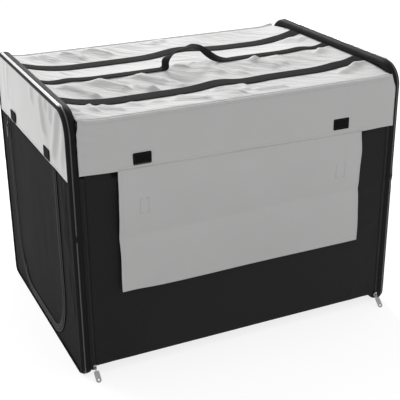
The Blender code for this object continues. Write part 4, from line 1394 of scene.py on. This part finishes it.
# %% Hook and loop tabs
def tab(name, body):
    low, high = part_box(name)
    centre, size = (low + high) / 2, high - low
    faces_front = size.x > size.y
    half, thick = (size.x / 2, size.y) if faces_front else (size.y / 2, size.x)

    def place(a, b, out):
        if faces_front:
            return Vector((centre.x + a, high.y - out, centre.z + b))
        return Vector((high.x - out, centre.y + a, centre.z + b))

    rings = []
    insets = (0.0, 0.0001), (0.0, thick * 0.7), (0.0006, thick), (0.003, thick * 0.8), (0.005, thick)
    for inset, out in insets:
        radius = max(0.0022 - inset, 0.0002)
        ring = []
        for corner, (sa, sb) in enumerate(((1, 1), (-1, 1), (-1, -1), (1, -1))):
            for turn in steps(math.pi / 2 * corner, math.pi / 2 * (corner + 1), 0.5):
                a = sa * (half - inset - radius) + radius * math.cos(turn)
                b = sb * (size.z / 2 - inset - radius) + radius * math.sin(turn)
                ring.append((place(a, b, out), (a, b)))
        rings.append([*ring, ring[0]])
    rings.append([(place(0, 0, thick), (0, 0)) for _ in rings[0]])
    outward = (0, -1, 0) if faces_front else (-1, 0, 0)
    piece = cloth(f"{name}_pile", rings, HOOK_AND_LOOP, body, node=name, outward=outward)
    a, b = half - 0.003, size.z / 2 - 0.003
    line = [place(*corner, thick * 0.85) for corner in ((a, b), (-a, b), (-a, -b), (a, -b), (a, b))]
    seam = stitches(f"{name}_stitches", [line], outward, DARK_THREAD, body, pitch=0.0028, long=0.002)
    crumple([piece, seam])


tab("window_tab_left", "left_window_tab")
tab("window_tab_right", "right_window_tab")
tab("door_tab_front", "front_door_tab")
tab("door_tab_rear", "rear_door_tab")

# %% [markdown]
# ## Floor and the door's slider
# The cloth floor hangs a little below the lower rails, and a stiff board lies on them inside. The
# door's slider and pull are dark metal. They are sewn to the door's cloth, and each gets a copy of its
# solid.

# %% Cloth floor
def floor_spot(x, y):
    inside = fade(min(floor_high.x - abs(x), floor_high.y - abs(y)), 0.0, 0.06)
    return Vector((x, y, floor_high.z - inside * (0.0018 + 0.0010 * wobble(x * 8, y * 8, 81.0))))


floor_sheet = cloth(
    "floor_sheet",
    rows_of(steps(floor_low.x, floor_high.x, 0.015), steps(floor_low.y, floor_high.y, 0.015), floor_spot),
    WALL_CLOTH, "base", 0.001, "floor_cloth", (0, 0, 1),
)

# %% Door slider and pull
for name, body in (("door_slider", "door_zip_slider"), ("door_pull", "door_zip_pull")):
    source = frame["nodes"][name]
    twin = bpy.data.objects.new(f"{name}_metal", source.data.copy())
    twin.matrix_world = source.matrix_world
    bpy.context.scene.collection.objects.link(twin)
    twin.data.materials.clear()
    twin.data.materials.append(DARK_METAL)
    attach(twin, body)
    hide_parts(name)
    crumple([twin])
print("floor and door metal made")

# %% [markdown]
# ## The studio
# A camera at the photograph's angle, a pale floor, and two soft lamps behind the crate. They are set
# low, so folds show one bright and one grey flank, and the front stays in even shade.
# White floor and background come from what the camera sees of them, not from more light.

# %% Camera
AZIMUTH, ELEVATION, ROLL = (math.radians(angle) for angle in (-24.94, 23.70, -0.49))
camera = bpy.data.objects.new("Camera", bpy.data.cameras.new("Camera"))
bpy.context.scene.collection.objects.link(camera)
camera.data.lens, camera.data.sensor_width = 83.27, 36.0
camera.location = (-0.776, -1.7078, 1.0361)
aim = Euler((math.pi / 2 - ELEVATION, 0, AZIMUTH)).to_matrix() @ Matrix.Rotation(ROLL, 3, "Z")
camera.rotation_euler = aim.to_euler()
bpy.context.scene.camera = camera


# %% Lamps and room light
def lamp(name, place, size, power):
    """A square soft lamp that points at the crate's middle."""
    light = bpy.data.lights.new(name, "AREA")
    light.shape, light.size, light.energy = "SQUARE", size, power
    holder = bpy.data.objects.new(name, light)
    holder.location = place
    holder.rotation_euler = (Vector((0, 0, 0.3)) - Vector(place)).to_track_quat("-Z", "Y").to_euler()
    bpy.context.scene.collection.objects.link(holder)


lamp("Key", (0.65, 2.08, 1.82), 0.6, 62)
lamp("Side", (-1.5, 1.6, 1.0), 0.8, 20)

world = bpy.data.worlds.new("Studio")
world.use_nodes = True
room = Graph(world.node_tree)
soft = Wire(room, room.tree.nodes["Background"].outputs[0])
soft.socket.node.inputs["Color"].default_value = (1, 1, 1, 1)
soft.socket.node.inputs["Strength"].default_value = 0.68
white = room.node("ShaderNodeBackground", inputs={"Color": (1, 1, 1, 1), "Strength": 1.0})
both = room.node("ShaderNodeMixShader", inputs={0: room.seen(), 1: soft, 2: white})
room.feed(room.tree.nodes["World Output"].inputs["Surface"], both)
bpy.context.scene.world = world


# %% Floor
def studio_paint():
    """A matt floor that looks white and still shows shadows."""
    paint = Finish("Studio floor")
    paint.tree.nodes.remove(paint.shader)
    matt = paint.node("ShaderNodeBsdfDiffuse", inputs={"Color": (0.8, 0.8, 0.8, 1)})
    shaded = paint.node("ShaderNodeBsdfDiffuse", inputs={"Color": (0.32, 0.32, 0.32, 1)})
    glow = paint.node("ShaderNodeEmission", inputs={"Strength": 0.8})
    shown = paint.node("ShaderNodeAddShader", inputs={0: shaded, 1: glow})
    mixed = paint.node("ShaderNodeMixShader", inputs={0: paint.seen(), 1: matt, 2: shown})
    paint.feed(paint.tree.nodes["Material Output"].inputs["Surface"], mixed)
    return paint.material


reach = 6.0
corners = [(-reach, -reach, 0), (reach, -reach, 0), (reach, reach, 0), (-reach, reach, 0)]
mesh = bpy.data.meshes.new("studio_floor")
mesh.from_pydata(corners, [], [(0, 1, 2, 3)])
mesh.materials.append(studio_paint())
floor = bpy.data.objects.new("studio_floor", mesh)
floor.location.z = -0.0002
bpy.context.scene.collection.objects.link(floor)
floor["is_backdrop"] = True
bpy.context.scene.view_settings.view_transform = "Standard"

# %% Bounds of the frame and the dressed crate
made_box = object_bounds()
[[list(corner) for corner in box] for box in (cad_box, made_box)]
print("cad", [[round(v, 4) for v in corner] for corner in cad_box])
print("made", [[round(v, 4) for v in corner] for corner in made_box])
